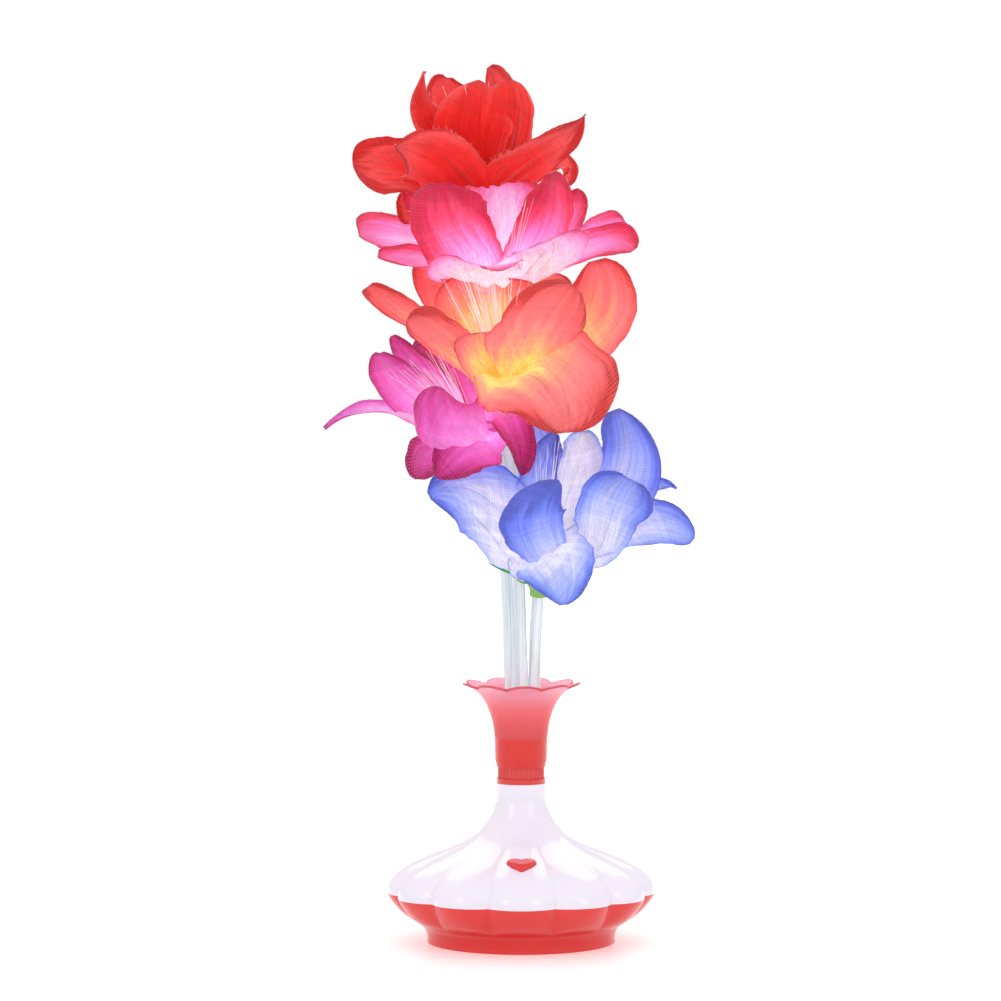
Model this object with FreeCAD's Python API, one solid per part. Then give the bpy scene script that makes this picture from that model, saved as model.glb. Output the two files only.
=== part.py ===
"""Battery fibre-optic flower lamp: a pumpkin-shaped base with a heart push button, a trumpet neck
that pulls out of it, and five cloth flowers, each on its own bundle of light fibres.

Millimetres, +Z up, the front (the heart button) towards -Y.  The origin is the middle of the
foot ring, on the surface that the lamp stands on.
"""

import FreeCAD, Part
import math
import os

V = FreeCAD.Vector
UP = V(0, 0, 1)

# ---------------------------------------------------------------- clearances
FIT = 0.05  # pushed-in parts, on the radius
RUNNING = 0.25  # parts that slide or swing past each other
SEAT = 0.3  # cloth and loose parts above what carries them

# ---------------------------------------------------------------- bundles of light fibres
BUNDLES = 5
BUNDLE_R = 2.25
BUNDLE_SIDES = 6
BUNDLE_GAP = 0.12  # between two bundles that run side by side, and round one in its hole
BUNDLE_END = 13.0  # how far below a flower its bundle points along the flower's axis
SQUARE_Z = 80.3  # above the neck's top, where four bundles still stand in a square
BUNDLE_RING_R = (BUNDLE_R + BUNDLE_GAP / 2) / math.sin(math.pi / BUNDLES)

# ---------------------------------------------------------------- fits of the neck, from the bundles out
FERRULE_WALL = 0.57
PLUG_WALL = 1.25
NECK_WALL = 1.6
FERRULE_BORE_R = BUNDLE_RING_R + BUNDLE_R + FIT
FERRULE_R = FERRULE_BORE_R + FERRULE_WALL
PLUG_BORE_R = FERRULE_R + 2 * FIT
SHANK_R = PLUG_BORE_R + PLUG_WALL
NECK_BORE_R = SHANK_R + FIT
NECK_R = NECK_BORE_R + NECK_WALL

# ---------------------------------------------------------------- base
# A form gives the points of a profile as shares of the way from its first end to its last,
# sideways and up.
LOBES = 12  # scallops round the base, one of them facing the front
SEAM_R = 52.3  # crest of a scallop at the seam of the two shells
SEAM_Z = 18.9
SEAM_DENT = 4.1  # how far the valley between two scallops lies inside the crest
WALL = 1.8
SHOULDER_R = 17.1  # where the scallops have run out on the upper shell
SHOULDER_Z = 41.9
NECK_TOP_Z = 61.7
NECK_STRAIGHT = 7.0
UPPER_FORM = [(0, 0), (0.011, 0.117), (0.145, 0.365), (0.511, 0.648), (0.838, 0.848), (1, 1)]
SHOULDER_FORM = [(0, 0), (0.397, 0.258), (0.685, 0.5), (0.877, 0.742), (1, 1)]
FOOT_R = 36.7
FOOT_TOP_R = 39.6  # where the scallops have run out on the lower shell
FOOT_TOP_Z = 7.2
FOOT_WALL = 2.5
FOOT_FORM = [(0, 0), (0.034, 0.472), (0.448, 0.792), (1, 1)]
LOWER_FORM = [(0, 0), (0.268, 0.154), (0.512, 0.333), (0.756, 0.598), (0.937, 0.863), (1, 1)]
LIP_WALL = 1.4  # the lower shell's lip, which centres the upper shell
LIP_HEIGHT = 1.8
FLOOR_Z = 1.6  # underside of the floor, above the surface that the lamp stands on
FLOOR = 1.6

# ---------------------------------------------------------------- battery compartment
CELLS = 3
CELL_R = 5.25
CELL_LENGTH = 44.5
CELL_NUB_R = 1.9
CELL_NUB = 1.0
CELL_GAP = 0.5
CELL_PITCH = 2 * CELL_R + CELL_GAP
CONTACT_DEPTH = 3.25  # from a cell's end to the compartment's end wall
CONTACT_METAL = 0.4
CONTACT_WIDTH = 6.0
BOX_WALL = 1.2
DOOR = 1.4
HINGE_TAB_X = 15.0
HINGE_TAB_WIDTH = 8.0
HINGE_TAB_REACH = 2.0
HINGE_TAB = 1.0

# ---------------------------------------------------------------- screws
SHELL_SCREWS_AT = [(0.0, 27.0), (13.0, -25.5), (-13.0, -25.5)]
SCREW_R = 1.2
SCREW_HEAD_R = 2.4
SCREW_HEAD = 1.6
SCREW_SEAT_Z = 9.0
SCREW_LENGTH = 18.0
POST_WALL = 1.15
BOARD_SCREW_LENGTH = 7.0

# ---------------------------------------------------------------- heart button and its switch
BUTTON_Y = -33.75
HEART_WIDTH = 10.9
HEART_DEPTH = 9.6
BUTTON_PROUD = 0.2  # above the shell, at the button's back edge
BUTTON_TILT = 8.0  # degrees that its top falls towards the front
BUTTON_TRAVEL = 1.5
GUIDE_DEPTH = 7.2  # from the shell's top down to the end of the button's guide
FLANGE_R = HEART_WIDTH / 2 + 0.95
FLANGE = 1.5
GUIDE_R = FLANGE_R + 1.6
BUTTON_PIN = 1.2  # below the flange, down to the switch
SWITCH_SIDE = 8.0
SWITCH_HEIGHT = 6.3
PLUNGER_R = 1.6
PLUNGER_PROUD = 1.8

# ---------------------------------------------------------------- lights
BOARD_LENGTH = 30.0
BOARD_WIDTH = 16.0
BOARD_Z = SHOULDER_Z - 7.9
BOARD = 1.2
BOARD_SCREW_X = 12.2
LEDS = 3
LED_R = 2.5
LED_CIRCLE_R = 3.4
LED_HEIGHT = 8.7
LED_GAP = 2.1  # from the lights to the ends of the bundles

# ---------------------------------------------------------------- plug and trumpet
PLUG_Z = BOARD_Z + BOARD + LED_HEIGHT + LED_GAP
FERRULE_LENGTH = 12.0
PLUG_COLLAR_R = NECK_R - 0.3
PLUG_COLLAR_Z = NECK_TOP_Z + 1.9
SPIGOT_R = SHANK_R + 0.25
GRIP_R = SPIGOT_R + 0.6
GRIP_RIBS = 30
GRIP_RIB = 0.45
GRIP_TOP_Z = PLUG_COLLAR_Z + 4.3
SPIGOT_LENGTH = 12.0
TRUMPET_FOOT_R = GRIP_R + 0.45
# Points of the bell, as (radius beyond the trumpet's foot, height above it).
TRUMPET_OUTSIDE = [(0.7, 3.1), (0.85, 9.7), (1.45, 16.3), (2.65, 21.0), (4.75, 25.7), (9.05, 30.3),
                   (14.55, 32.8)]
TRUMPET_INSIDE = [(1.05, 19.6), (3.75, 25.9), (8.35, 30.9), (14.25, 33.5)]
RIM_LOBES = 9
RIM_TIP = 13.65  # beyond the foot, as the two radii above
RIM_VALLEY = 10.35
RIM_TURN = 3.5  # degrees that the front lobe is turned to the right

# ---------------------------------------------------------------- flowers
CLOTH = 0.6
CUP_SIDES = 10  # faces round a calyx and a collar
CUP_PROFILE = [(1.05, -7.0), (1.45, -4.2), (2.75, -2.2), (3.15, 0.0)]  # beyond the bundle, and height
COLLAR_WALL = 1.0
COLLAR_HEIGHT = 5.0
OUTER_ROOT = (1.85, 0.65)  # a petal's foot, beyond the bundle and above the calyx
INNER_ROOT = (1.85, 2.4)
PETAL_STATIONS = [0.0, 0.22, 0.52, 0.8, 1.0]
PETAL_FORM = [0.30, 0.75, 1.0, 0.80, 0.34]  # share of the full width at each station
PETAL_ACROSS = 3
PETAL_CUP = (70.0, 25.0)  # half the angle that a petal's section turns, at its foot and its tip
SEPAL_WIDTH = 2.6
FIBRE = 0.5
LOOSE_FIBRES = [18.0, 24.0, 20.0, 26.0]  # lengths of the fibres that fan out of a throat

# A petal is (azimuth from the front, length, width, lean from the flower's axis at its foot,
# middle and tip), in millimetres and degrees.  "foot" is its bundle's number in the ferrule, "side"
# the bundle's corner of the square that four of them make, and "stem" the points that it passes
# after that.  "passing" is the azimuth at which the stems of higher flowers go by, and "sepals" how
# many sepals there are and how long they are.  Heights are above the neck's top.
FLOWERS = {
    "red": {
        "hub": V(-13, 16, 224.3),
        "axis": V(0, -0.1, 1),
        "foot": 3,
        "side": (-1, 1),
        "stem": [V(-8, 9, 118.3), V(-10.5, 15.5, 150.3), V(-12.5, 19, 188.3)],
        "passing": [],
        "sepals": (5, 9.0),
        "outer": [(-90, 56, 24, 60, 72, 98), (-35, 47, 38, 45, 52, 45), (48, 56, 26, 45, 54, 55),
                  (105, 48, 20, 60, 70, 140), (158, 46, 30, 62, 64, 80), (-145, 46, 34, 60, 68, 88)],
        "inner": [(-85, 58, 14, 24, 34, 16), (5, 54, 30, 22, 16, 30), (80, 50, 22, 24, 16, 18),
                  (150, 56, 16, 28, 20, 24), (-145, 55, 22, 34, 26, 26)],
    },
    "pink": {
        "hub": V(-6, 8, 188.3),
        "axis": V(0, -0.15, 1),
        "foot": 4,
        "side": (1, 1),
        "stem": [V(-3, 6, 118.3), V(-5.5, 11, 150.3)],
        "passing": [209],
        "sepals": (5, 9.0),
        "outer": [(-102, 62, 18, 48, 68, 98), (-66, 52, 16, 52, 72, 88), (-18, 44, 36, 62, 62, 76),
                  (34, 41, 30, 56, 54, 40), (74, 53, 16, 52, 66, 105), (108, 54, 16, 48, 62, 72),
                  (155, 46, 28, 66, 66, 92)],
        "inner": [(-80, 52, 30, 34, 38, 16), (95, 54, 26, 24, 36, 20), (168, 38, 24, 50, 48, 44),
                  (130, 50, 16, 50, 54, 44)],
    },
    "orange": {
        "hub": V(-6, -5, 150.3),
        "axis": V(0.12, -0.35, 0.93),
        "foot": 1,
        "side": (1, -1),
        "stem": [V(-2.6, -2.6, 116.3)],
        "passing": [184],
        "sepals": (5, 9.0),
        "outer": [(-105, 68, 16, 62, 62, 56), (-65, 54, 28, 50, 60, 60), (-14, 38, 34, 48, 48, 36),
                  (42, 64, 36, 50, 82, 150), (100, 68, 28, 52, 58, 34), (140, 56, 26, 72, 78, 92),
                  (-140, 50, 26, 74, 72, 70)],
        "inner": [(58, 58, 34, 26, 28, 42), (-108, 56, 20, 46, 52, 52), (-150, 40, 24, 62, 60, 54),
                  (140, 46, 24, 46, 46, 46)],
    },
    "magenta": {
        "hub": V(-15, -5, 131.3),
        "axis": V(-0.45, -0.25, 0.86),
        "foot": 2,
        "side": (-1, -1),
        "stem": [V(-8.2, -2.9, 108.3)],
        "passing": [133],
        "sepals": (4, 8.0),
        "outer": [(-92, 66, 12, 54, 44, 92), (-58, 34, 20, 80, 68, 130), (-20, 30, 24, 74, 62, 100),
                  (32, 34, 15, 60, 100, 150), (-160, 46, 28, 76, 64, 58)],
        "inner": [(-15, 44, 32, 34, 42, 36), (-165, 54, 18, 40, 26, 28), (-115, 53, 20, 34, 24, 32)],
    },
    "blue": {
        "hub": V(7.2, -12, 80.3),
        "axis": V(0.1, -0.2, 0.97),
        "foot": 0,
        "side": None,
        "stem": [],
        "passing": [220],
        "sepals": (5, 15.0),
        "outer": [(-84, 57, 30, 56, 60, 104), (10, 52, 32, 50, 90, 160), (70, 66, 22, 60, 56, 112),
                  (112, 66, 14, 58, 52, 96), (160, 58, 26, 72, 66, 88)],
        "inner": [(0, 50, 27, 26, 30, 44), (62, 54, 28, 38, 30, 40), (120, 78, 24, 42, 38, 18),
                  (168, 60, 18, 30, 26, 22), (-104, 46, 14, 16, 10, 4)],
    },
}


# ---------------------------------------------------------------- shared shapes
def disc(radius, z, height, x=0.0, y=0.0):
    """A cylinder that stands on z."""
    return Part.makeCylinder(radius, height, V(x, y, z))


def box(x0, x1, y0, y1, z0, z1):
    return Part.makeBox(x1 - x0, y1 - y0, z1 - z0, V(x0, y0, z0))


def lathe(*runs):
    """The solid that a closed outline sweeps round the Z axis.

    The outline is made of runs of (radius, z) points, of which each starts where the last ends.
    A run called "curve" is smooth, and a run called "line" is straight between its points.
    """
    edges = []
    for kind, outline in runs:
        points = [V(r, 0, z) for r, z in outline]
        if kind == "line":
            edges += [Part.makeLine(a, b) for a, b in zip(points, points[1:])]
        else:
            curve = Part.BSplineCurve()
            curve.interpolate(points)
            edges.append(curve.toShape())
    return Part.Face(Part.Wire(edges)).revolve(V(0, 0, 0), UP, 360)


def polygon(sides, radius, z, x=0.0, y=0.0):
    """The corners of a regular polygon."""
    angles = [2 * math.pi * i / sides for i in range(sides)]
    return [V(x + radius * math.cos(a), y + radius * math.sin(a), z) for a in angles]


def closed(points):
    return Part.makePolygon(points + points[:1])


def scalloped_wire(z, crest, valley, count, turn):
    """A closed ring of equal arcs that bulge out to crest and meet at valley."""
    arcs = []
    half = math.pi / count
    for i in range(count):
        middle = math.radians(turn - 90) + i * 2 * half
        ends = [V(valley * math.cos(a), valley * math.sin(a), z) for a in (middle - half, middle + half)]
        top = V(crest * math.cos(middle), crest * math.sin(middle), z)
        arcs.append(Part.Arc(ends[0], top, ends[1]).toShape())
    return Part.Wire(arcs)


def between(form, first, last):
    """The profile of a form whose ends are the points first and last."""
    return [(first[0] + a * (last[0] - first[0]), first[1] + b * (last[1] - first[1])) for a, b in form]


def valleys(profile, round_r):
    """The profile between two scallops, whose dents grow from none at round_r to full at the seam."""
    return [(r - SEAM_DENT * max(0.0, (r - round_r) / (SEAM_R - round_r)), z) for r, z in profile]


def scalloped_body(profile, round_r):
    dents = valleys(profile, round_r)
    rings = [scalloped_wire(z, crest, valley, LOBES, 0) for (crest, z), (valley, _) in zip(profile, dents)]
    return Part.makeLoft(rings, True, False)


def moved_in(profile, wall):
    """A rising profile, moved by the wall towards the axis."""
    moved = []
    for i, (r, z) in enumerate(profile):
        before, after = profile[max(i - 1, 0)], profile[min(i + 1, len(profile) - 1)]
        along = V(after[0] - before[0], 0, after[1] - before[1]).normalize()
        moved.append((r - wall * along.z, z + wall * along.x))
    return moved


def bundle_along(points, radius):
    """A six-sided bundle that starts upwards and follows straight runs joined by tangent arcs."""
    edges = []
    start = points[0]
    for i in range(1, len(points) - 1):
        corner = points[i]
        back, ahead = points[i - 1] - corner, points[i + 1] - corner
        reach = 0.45 * min(back.Length, ahead.Length)
        back.normalize()
        ahead.normalize()
        half = back.getAngle(ahead) / 2
        into, out = corner + back * reach, corner + ahead * reach
        middle = back + ahead
        middle.normalize()
        depth = reach / math.cos(half) - reach * math.tan(half)
        edges.append(Part.makeLine(start, into))
        edges.append(Part.Arc(into, corner + middle * depth, out).toShape())
        start = out
    edges.append(Part.makeLine(start, points[-1]))
    ring = closed(polygon(BUNDLE_SIDES, radius, points[0].z, points[0].x, points[0].y))
    return Part.Wire(edges).makePipeShell([ring], True, False)


def stacked(rings):
    """A closed solid of flat triangles through rings of as many points each."""
    count = len(rings[0])
    faces = []
    for start in range(0, count * (len(rings) - 1), count):
        for i in range(count):
            a, b = start + i, start + (i + 1) % count
            faces += [(a, b, b + count), (a, b + count, a + count)]
    last = count * (len(rings) - 1)
    for i in range(count // 2 - 1):
        a, b, c, d = i, i + 1, count - 2 - i, count - 1 - i
        faces += [(a, c, b), (a, d, c), (last + a, last + b, last + c), (last + a, last + c, last + d)]
    skin = Part.Shape()
    skin.makeShapeFromMesh(([p for ring in rings for p in ring], faces), 0.001)
    solid = Part.makeSolid(skin)
    return solid if solid.Volume > 0 else solid.reversed()


# ---------------------------------------------------------------- shells
def heart(offset):
    """The heart's outline, moved out by offset, as a face at z 0 with its point to the front."""
    half = HEART_WIDTH / 2 + offset
    tip, dip = -0.54 * HEART_DEPTH - 1.3 * offset, 0.27 * HEART_DEPTH + offset
    crest, side = 0.46 * HEART_DEPTH + offset, 0.12 * HEART_DEPTH
    edges = []
    for s in (1, -1):
        lobe_top, lobe_end = V(s * half * 0.53, crest, 0), V(s * half, side, 0)
        flank = V(s * half * 0.62, tip * 0.42, 0)
        edges.append(Part.Arc(V(0, dip, 0), lobe_top, lobe_end).toShape())
        edges.append(Part.Arc(lobe_end, flank, V(0, tip, 0)).toShape())
    face = Part.Face(Part.Wire(Part.__sortEdges__(edges)))
    face.translate(V(0, BUTTON_Y, 0))
    return face


def upper_profile():
    return between(UPPER_FORM, (SEAM_R, SEAM_Z), (SHOULDER_R, SHOULDER_Z))


def shoulder_profile():
    return between(SHOULDER_FORM, (SHOULDER_R, SHOULDER_Z), (NECK_R, NECK_TOP_Z - NECK_STRAIGHT))


def roof_z(radius):
    """The height of the upper shell's crests at a radius between its shoulder and its seam."""
    points = upper_profile()
    for (r0, z0), (r1, z1) in zip(points, points[1:]):
        if radius >= r1:
            return z0 + (r0 - radius) / (r0 - r1) * (z1 - z0)
    return SHOULDER_Z


def upper_outside():
    shoulder = shoulder_profile()
    foot = shoulder[0]
    neck = [shoulder[-1], (NECK_R, NECK_TOP_Z), (0, NECK_TOP_Z), (0, foot[1]), foot]
    return scalloped_body(upper_profile(), SHOULDER_R).fuse(lathe(("curve", shoulder), ("line", neck)))


def upper_shell():
    whole = upper_outside()
    dents = valleys(upper_profile()[:-1] + shoulder_profile()[::2], SHOULDER_R)
    seam_r = dents[0][0] - WALL
    pocket_z = SEAM_Z + LIP_HEIGHT + SEAT
    roof = [(max(r, NECK_BORE_R), max(z, pocket_z)) for r, z in moved_in(dents, WALL)[1:]]
    hollow = lathe(("line", [(0, SEAM_Z - 1), (seam_r, SEAM_Z - 1), (seam_r, pocket_z)] + roof
                    + [(NECK_BORE_R, NECK_TOP_Z + 1), (0, NECK_TOP_Z + 1), (0, SEAM_Z - 1)]))
    shell = whole.cut(hollow)
    post = SCREW_R + POST_WALL
    bosses = [disc(post + 0.6, SEAM_Z + SEAT, NECK_TOP_Z, x, y) for x, y in SHELL_SCREWS_AT]
    bosses += [disc(post, BOARD_Z + BOARD, NECK_TOP_Z, x, 0) for x in (-BOARD_SCREW_X, BOARD_SCREW_X)]
    bosses.append(disc(GUIDE_R, guide_z(), NECK_TOP_Z, 0, BUTTON_Y))
    shell = shell.fuse([boss.common(whole) for boss in bosses])
    depth = SCREW_SEAT_Z + SCREW_LENGTH + 1 - SEAM_Z
    cuts = [disc(SCREW_R + FIT, SEAM_Z, depth, x, y) for x, y in SHELL_SCREWS_AT]
    for x in (-BOARD_SCREW_X, BOARD_SCREW_X):
        cuts.append(disc(SCREW_R + FIT, BOARD_Z, BOARD_SCREW_LENGTH + 1, x, 0))
    cuts.append(heart(RUNNING).extrude(V(0, 0, NECK_TOP_Z)))
    return shell.cut(cuts).removeSplitter()


def compartment():
    """Half length, half width and inner height of the battery compartment."""
    half_length = CELL_LENGTH / 2 + CONTACT_DEPTH
    half_width = (CELLS - 1) / 2 * CELL_PITCH + CELL_R + 0.75
    top_z = cell_z() + CELL_R + 0.6
    return half_length, half_width, top_z


def cell_z():
    return FLOOR_Z + DOOR + SEAT + CELL_R


def lower_shell():
    foot_low, foot_top = (FOOT_R, 0), (FOOT_TOP_R, FOOT_TOP_Z)
    foot_side = between(FOOT_FORM, foot_low, foot_top)
    foot = lathe(("curve", foot_side), ("line", [foot_top, (0, FOOT_TOP_Z), (0, 0), foot_low]))
    side = between(LOWER_FORM, foot_top, (SEAM_R, SEAM_Z))
    whole = scalloped_body(side, FOOT_TOP_R).fuse(foot)
    dents = valleys(side, FOOT_TOP_R)
    lip_out = dents[-1][0] - WALL - RUNNING
    lip_in = lip_out - LIP_WALL
    bowl = [(min(r, lip_in), z) for r, z in moved_in(dents, WALL)[:-2]]
    floor_top = FLOOR_Z + FLOOR
    foot_in = FOOT_R - FOOT_WALL
    hollow = lathe(("line", [(0, floor_top), (foot_in, floor_top)] + bowl
                    + [(lip_in, SEAM_Z), (lip_in, SEAM_Z + 9), (0, SEAM_Z + 9), (0, floor_top)]))
    lip = disc(lip_out, SEAM_Z - 1, 1 + LIP_HEIGHT)
    length, width, top_z = compartment()
    post = SCREW_HEAD_R + SEAT + POST_WALL
    posts = [disc(post, FLOOR_Z, SEAM_Z - FLOOR_Z, x, y) for x, y in SHELL_SCREWS_AT]
    side = SWITCH_SIDE / 2 + 0.3
    switch_z = switch_base_z()
    posts.append(box(-side, side, BUTTON_Y - side, BUTTON_Y + side, FLOOR_Z, switch_z).common(whole))
    posts.append(box(-length - BOX_WALL, length + BOX_WALL, -width - BOX_WALL, width + BOX_WALL,
                     FLOOR_Z, top_z + BOX_WALL))
    shell = whole.fuse(lip).cut(hollow).fuse(posts)
    cuts = [disc(foot_in, -1, 1 + FLOOR_Z), box(-length, length, -width, width, 0, top_z)]
    for x, y in SHELL_SCREWS_AT:
        cuts.append(disc(SCREW_HEAD_R + SEAT, -1, 1 + SCREW_SEAT_Z, x, y))
        cuts.append(disc(SCREW_R + SEAT, 0, SEAM_Z + 1, x, y))
    for x in (-HINGE_TAB_X, HINGE_TAB_X):
        half = HINGE_TAB_WIDTH / 2 + SEAT
        cuts.append(box(x - half, x + half, -width - HINGE_TAB_REACH - SEAT, -width + 1,
                        floor_top, floor_top + 4.5))
    cuts.append(disc(5.0, 0, floor_top, 0, width + 1.5))
    return shell.cut(cuts).removeSplitter()


def battery_door():
    length, width, _ = compartment()
    x, y = length - SEAT, width - SEAT
    door = box(-x, x, -y, y, FLOOR_Z, FLOOR_Z + DOOR)
    tab_z = FLOOR_Z + FLOOR + SEAT
    parts = []
    for at in (-HINGE_TAB_X, HINGE_TAB_X):
        low, high = at - HINGE_TAB_WIDTH / 2, at + HINGE_TAB_WIDTH / 2
        parts.append(box(low, high, -y, -y + HINGE_TAB, FLOOR_Z + DOOR / 2, tab_z + HINGE_TAB))
        reach_y = -width - HINGE_TAB_REACH + SEAT
        parts.append(box(low, high, reach_y, -y + HINGE_TAB, tab_z, tab_z + HINGE_TAB))
    grooves = [box(-6, 6, y - 3 - 1.6 * i, y - 2.2 - 1.6 * i, FLOOR_Z - 1, FLOOR_Z + 0.4) for i in range(4)]
    return door.fuse(parts).cut(grooves).removeSplitter()


# ---------------------------------------------------------------- cells and contacts
def cell(index):
    """One cell; every other one points the other way."""
    y = (index - (CELLS - 1) / 2) * CELL_PITCH
    way = 1 if index % 2 == 0 else -1
    start, along = V(-way * CELL_LENGTH / 2, y, cell_z()), V(way, 0, 0)
    can = Part.makeCylinder(CELL_R, CELL_LENGTH - CELL_NUB, start, along)
    nub = Part.makeCylinder(CELL_NUB_R, CELL_NUB + 1, start + along * (CELL_LENGTH - CELL_NUB - 1), along)
    return can.fuse(nub).removeSplitter()


def contact(side, cells):
    """A plate on the end wall, with a sprung leaf bent out of it for each cell it touches."""
    length, _, top_z = compartment()
    wall_x = length - 0.05
    middle_z, low_z = cell_z(), FLOOR_Z + FLOOR + 1.0
    tip_x = CELL_LENGTH / 2 + 0.1
    metal = CONTACT_METAL
    leaf = [(wall_x - metal, low_z), (tip_x, middle_z), (wall_x - 1.2, top_z - 1.6),
            (wall_x - 1.2 + metal, top_z - 1.6), (tip_x + 1.1 * metal, middle_z),
            (wall_x - metal, low_z + 1.2)]
    outline = closed([V(side * x, 0, z) for x, z in leaf])
    rows = [(i - (CELLS - 1) / 2) * CELL_PITCH for i in cells]
    parts = []
    for y in rows:
        leaf_solid = Part.Face(outline).extrude(V(0, CONTACT_WIDTH, 0))
        leaf_solid.translate(V(0, y - CONTACT_WIDTH / 2, 0))
        parts.append(leaf_solid)
    xs = sorted((side * (wall_x - metal), side * wall_x))
    half = CONTACT_WIDTH / 2 + 0.5
    plate = box(xs[0], xs[1], rows[0] - half, rows[-1] + half, low_z, top_z - 0.4)
    return plate.fuse(parts).removeSplitter()


# ---------------------------------------------------------------- lights, screws and switch
def circuit_board():
    x, y = BOARD_LENGTH / 2, BOARD_WIDTH / 2
    board = box(-x, x, -y, y, BOARD_Z, BOARD_Z + BOARD)
    holes = [disc(SCREW_R + 0.2, BOARD_Z - 1, BOARD + 2, at, 0) for at in (-BOARD_SCREW_X, BOARD_SCREW_X)]
    return board.cut(holes)


def led(index):
    angle = math.radians(90 + index * 360 / LEDS)
    x, y = LED_CIRCLE_R * math.cos(angle), LED_CIRCLE_R * math.sin(angle)
    return disc(LED_R, BOARD_Z + BOARD, LED_HEIGHT, x, y)


def screw(x, y, seat_z, length):
    """A screw driven upwards, with its head under seat_z."""
    head = disc(SCREW_HEAD_R, seat_z - SCREW_HEAD, SCREW_HEAD, x, y)
    return head.fuse(disc(SCREW_R, seat_z - 0.5, length + 0.5, x, y)).removeSplitter()


def shell_screws():
    return Part.makeCompound([screw(x, y, SCREW_SEAT_Z, SCREW_LENGTH) for x, y in SHELL_SCREWS_AT])


def board_screws():
    places = (-BOARD_SCREW_X, BOARD_SCREW_X)
    return Part.makeCompound([screw(x, 0, BOARD_Z, BOARD_SCREW_LENGTH) for x in places])


def guide_z():
    return roof_z(-BUTTON_Y) - GUIDE_DEPTH


def flange_z():
    return guide_z() - 0.1 - FLANGE


def plunger_top_z():
    return flange_z() - BUTTON_PIN


def switch_base_z():
    return plunger_top_z() - PLUNGER_PROUD - SWITCH_HEIGHT


def switch_body():
    half = SWITCH_SIDE / 2
    z = switch_base_z()
    body = box(-half, half, BUTTON_Y - half, BUTTON_Y + half, z, z + SWITCH_HEIGHT)
    well = disc(PLUNGER_R + RUNNING, z + 2, SWITCH_HEIGHT, 0, BUTTON_Y)
    return body.cut(well)


def switch_plunger():
    top = plunger_top_z()
    low = switch_base_z() + 2 + BUTTON_TRAVEL + SEAT
    return disc(PLUNGER_R, low, top - low, 0, BUTTON_Y)


def heart_button():
    back_y = BUTTON_Y + 0.46 * HEART_DEPTH
    top_z = roof_z(-back_y) + BUTTON_PROUD
    prism = heart(0).extrude(V(0, 0, top_z + 5))
    lid = box(-20, 20, -30, 20, 0, 30)
    lid.rotate(V(0, 0, 0), V(1, 0, 0), BUTTON_TILT)
    lid.translate(V(0, back_y, top_z))
    prism = prism.cut([lid, box(-20, 20, BUTTON_Y - 20, BUTTON_Y + 20, -1, flange_z() + 0.5)])
    flange = disc(FLANGE_R, flange_z(), FLANGE, 0, BUTTON_Y)
    pin = disc(PLUNGER_R + 0.8, plunger_top_z(), FLANGE + BUTTON_PIN, 0, BUTTON_Y)
    return prism.fuse([flange, pin]).removeSplitter()


# ---------------------------------------------------------------- neck
def neck_plug():
    """A shank for the base's neck, a collar, a ribbed grip and a spigot for the trumpet."""
    top_z = GRIP_TOP_Z + SPIGOT_LENGTH
    outline = [(PLUG_BORE_R, PLUG_Z), (SHANK_R, PLUG_Z), (SHANK_R, NECK_TOP_Z),
               (PLUG_COLLAR_R, NECK_TOP_Z), (PLUG_COLLAR_R, PLUG_COLLAR_Z), (SPIGOT_R, PLUG_COLLAR_Z),
               (SPIGOT_R, top_z), (PLUG_BORE_R, top_z)]
    plug = lathe(("line", outline + outline[:1]))
    points = []
    for i in range(2 * GRIP_RIBS):
        angle, radius = math.pi * i / GRIP_RIBS, GRIP_R - GRIP_RIB * (i % 2)
        points.append(V(radius * math.cos(angle), radius * math.sin(angle), PLUG_COLLAR_Z))
    grip = Part.Face(closed(points)).extrude(V(0, 0, GRIP_TOP_Z - PLUG_COLLAR_Z))
    return plug.fuse(grip.cut(disc(SPIGOT_R - 0.5, 0, GRIP_TOP_Z + 1))).removeSplitter()


def ferrule():
    """The metal band that holds the five bundles together."""
    return disc(FERRULE_R, PLUG_Z, FERRULE_LENGTH).cut(disc(FERRULE_BORE_R, PLUG_Z - 1, FERRULE_LENGTH + 2))


def trumpet():
    """A thin bell whose rim is trimmed to lobes."""
    outer, inner = ([(TRUMPET_FOOT_R + r, GRIP_TOP_Z + z) for r, z in points]
                    for points in (TRUMPET_OUTSIDE, TRUMPET_INSIDE))
    bore_r = SPIGOT_R + FIT
    seat = [(bore_r, GRIP_TOP_Z + SPIGOT_LENGTH), (bore_r, GRIP_TOP_Z), (TRUMPET_FOOT_R, GRIP_TOP_Z)]
    bell = lathe(("curve", outer), ("line", outer[-1:] + inner[::-1] + seat + outer[:1]))
    tips, dips = TRUMPET_FOOT_R + RIM_TIP, TRUMPET_FOOT_R + RIM_VALLEY
    outline = scalloped_wire(GRIP_TOP_Z - 1, tips, dips, RIM_LOBES, RIM_TURN)
    return bell.common(Part.Face(outline).extrude(V(0, 0, 60)))


# ---------------------------------------------------------------- flowers
def above_neck(point):
    return point + V(0, 0, NECK_TOP_Z)


def flower_placement(flower):
    return FreeCAD.Placement(above_neck(flower["hub"]), FreeCAD.Rotation(UP, flower["axis"]))


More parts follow.
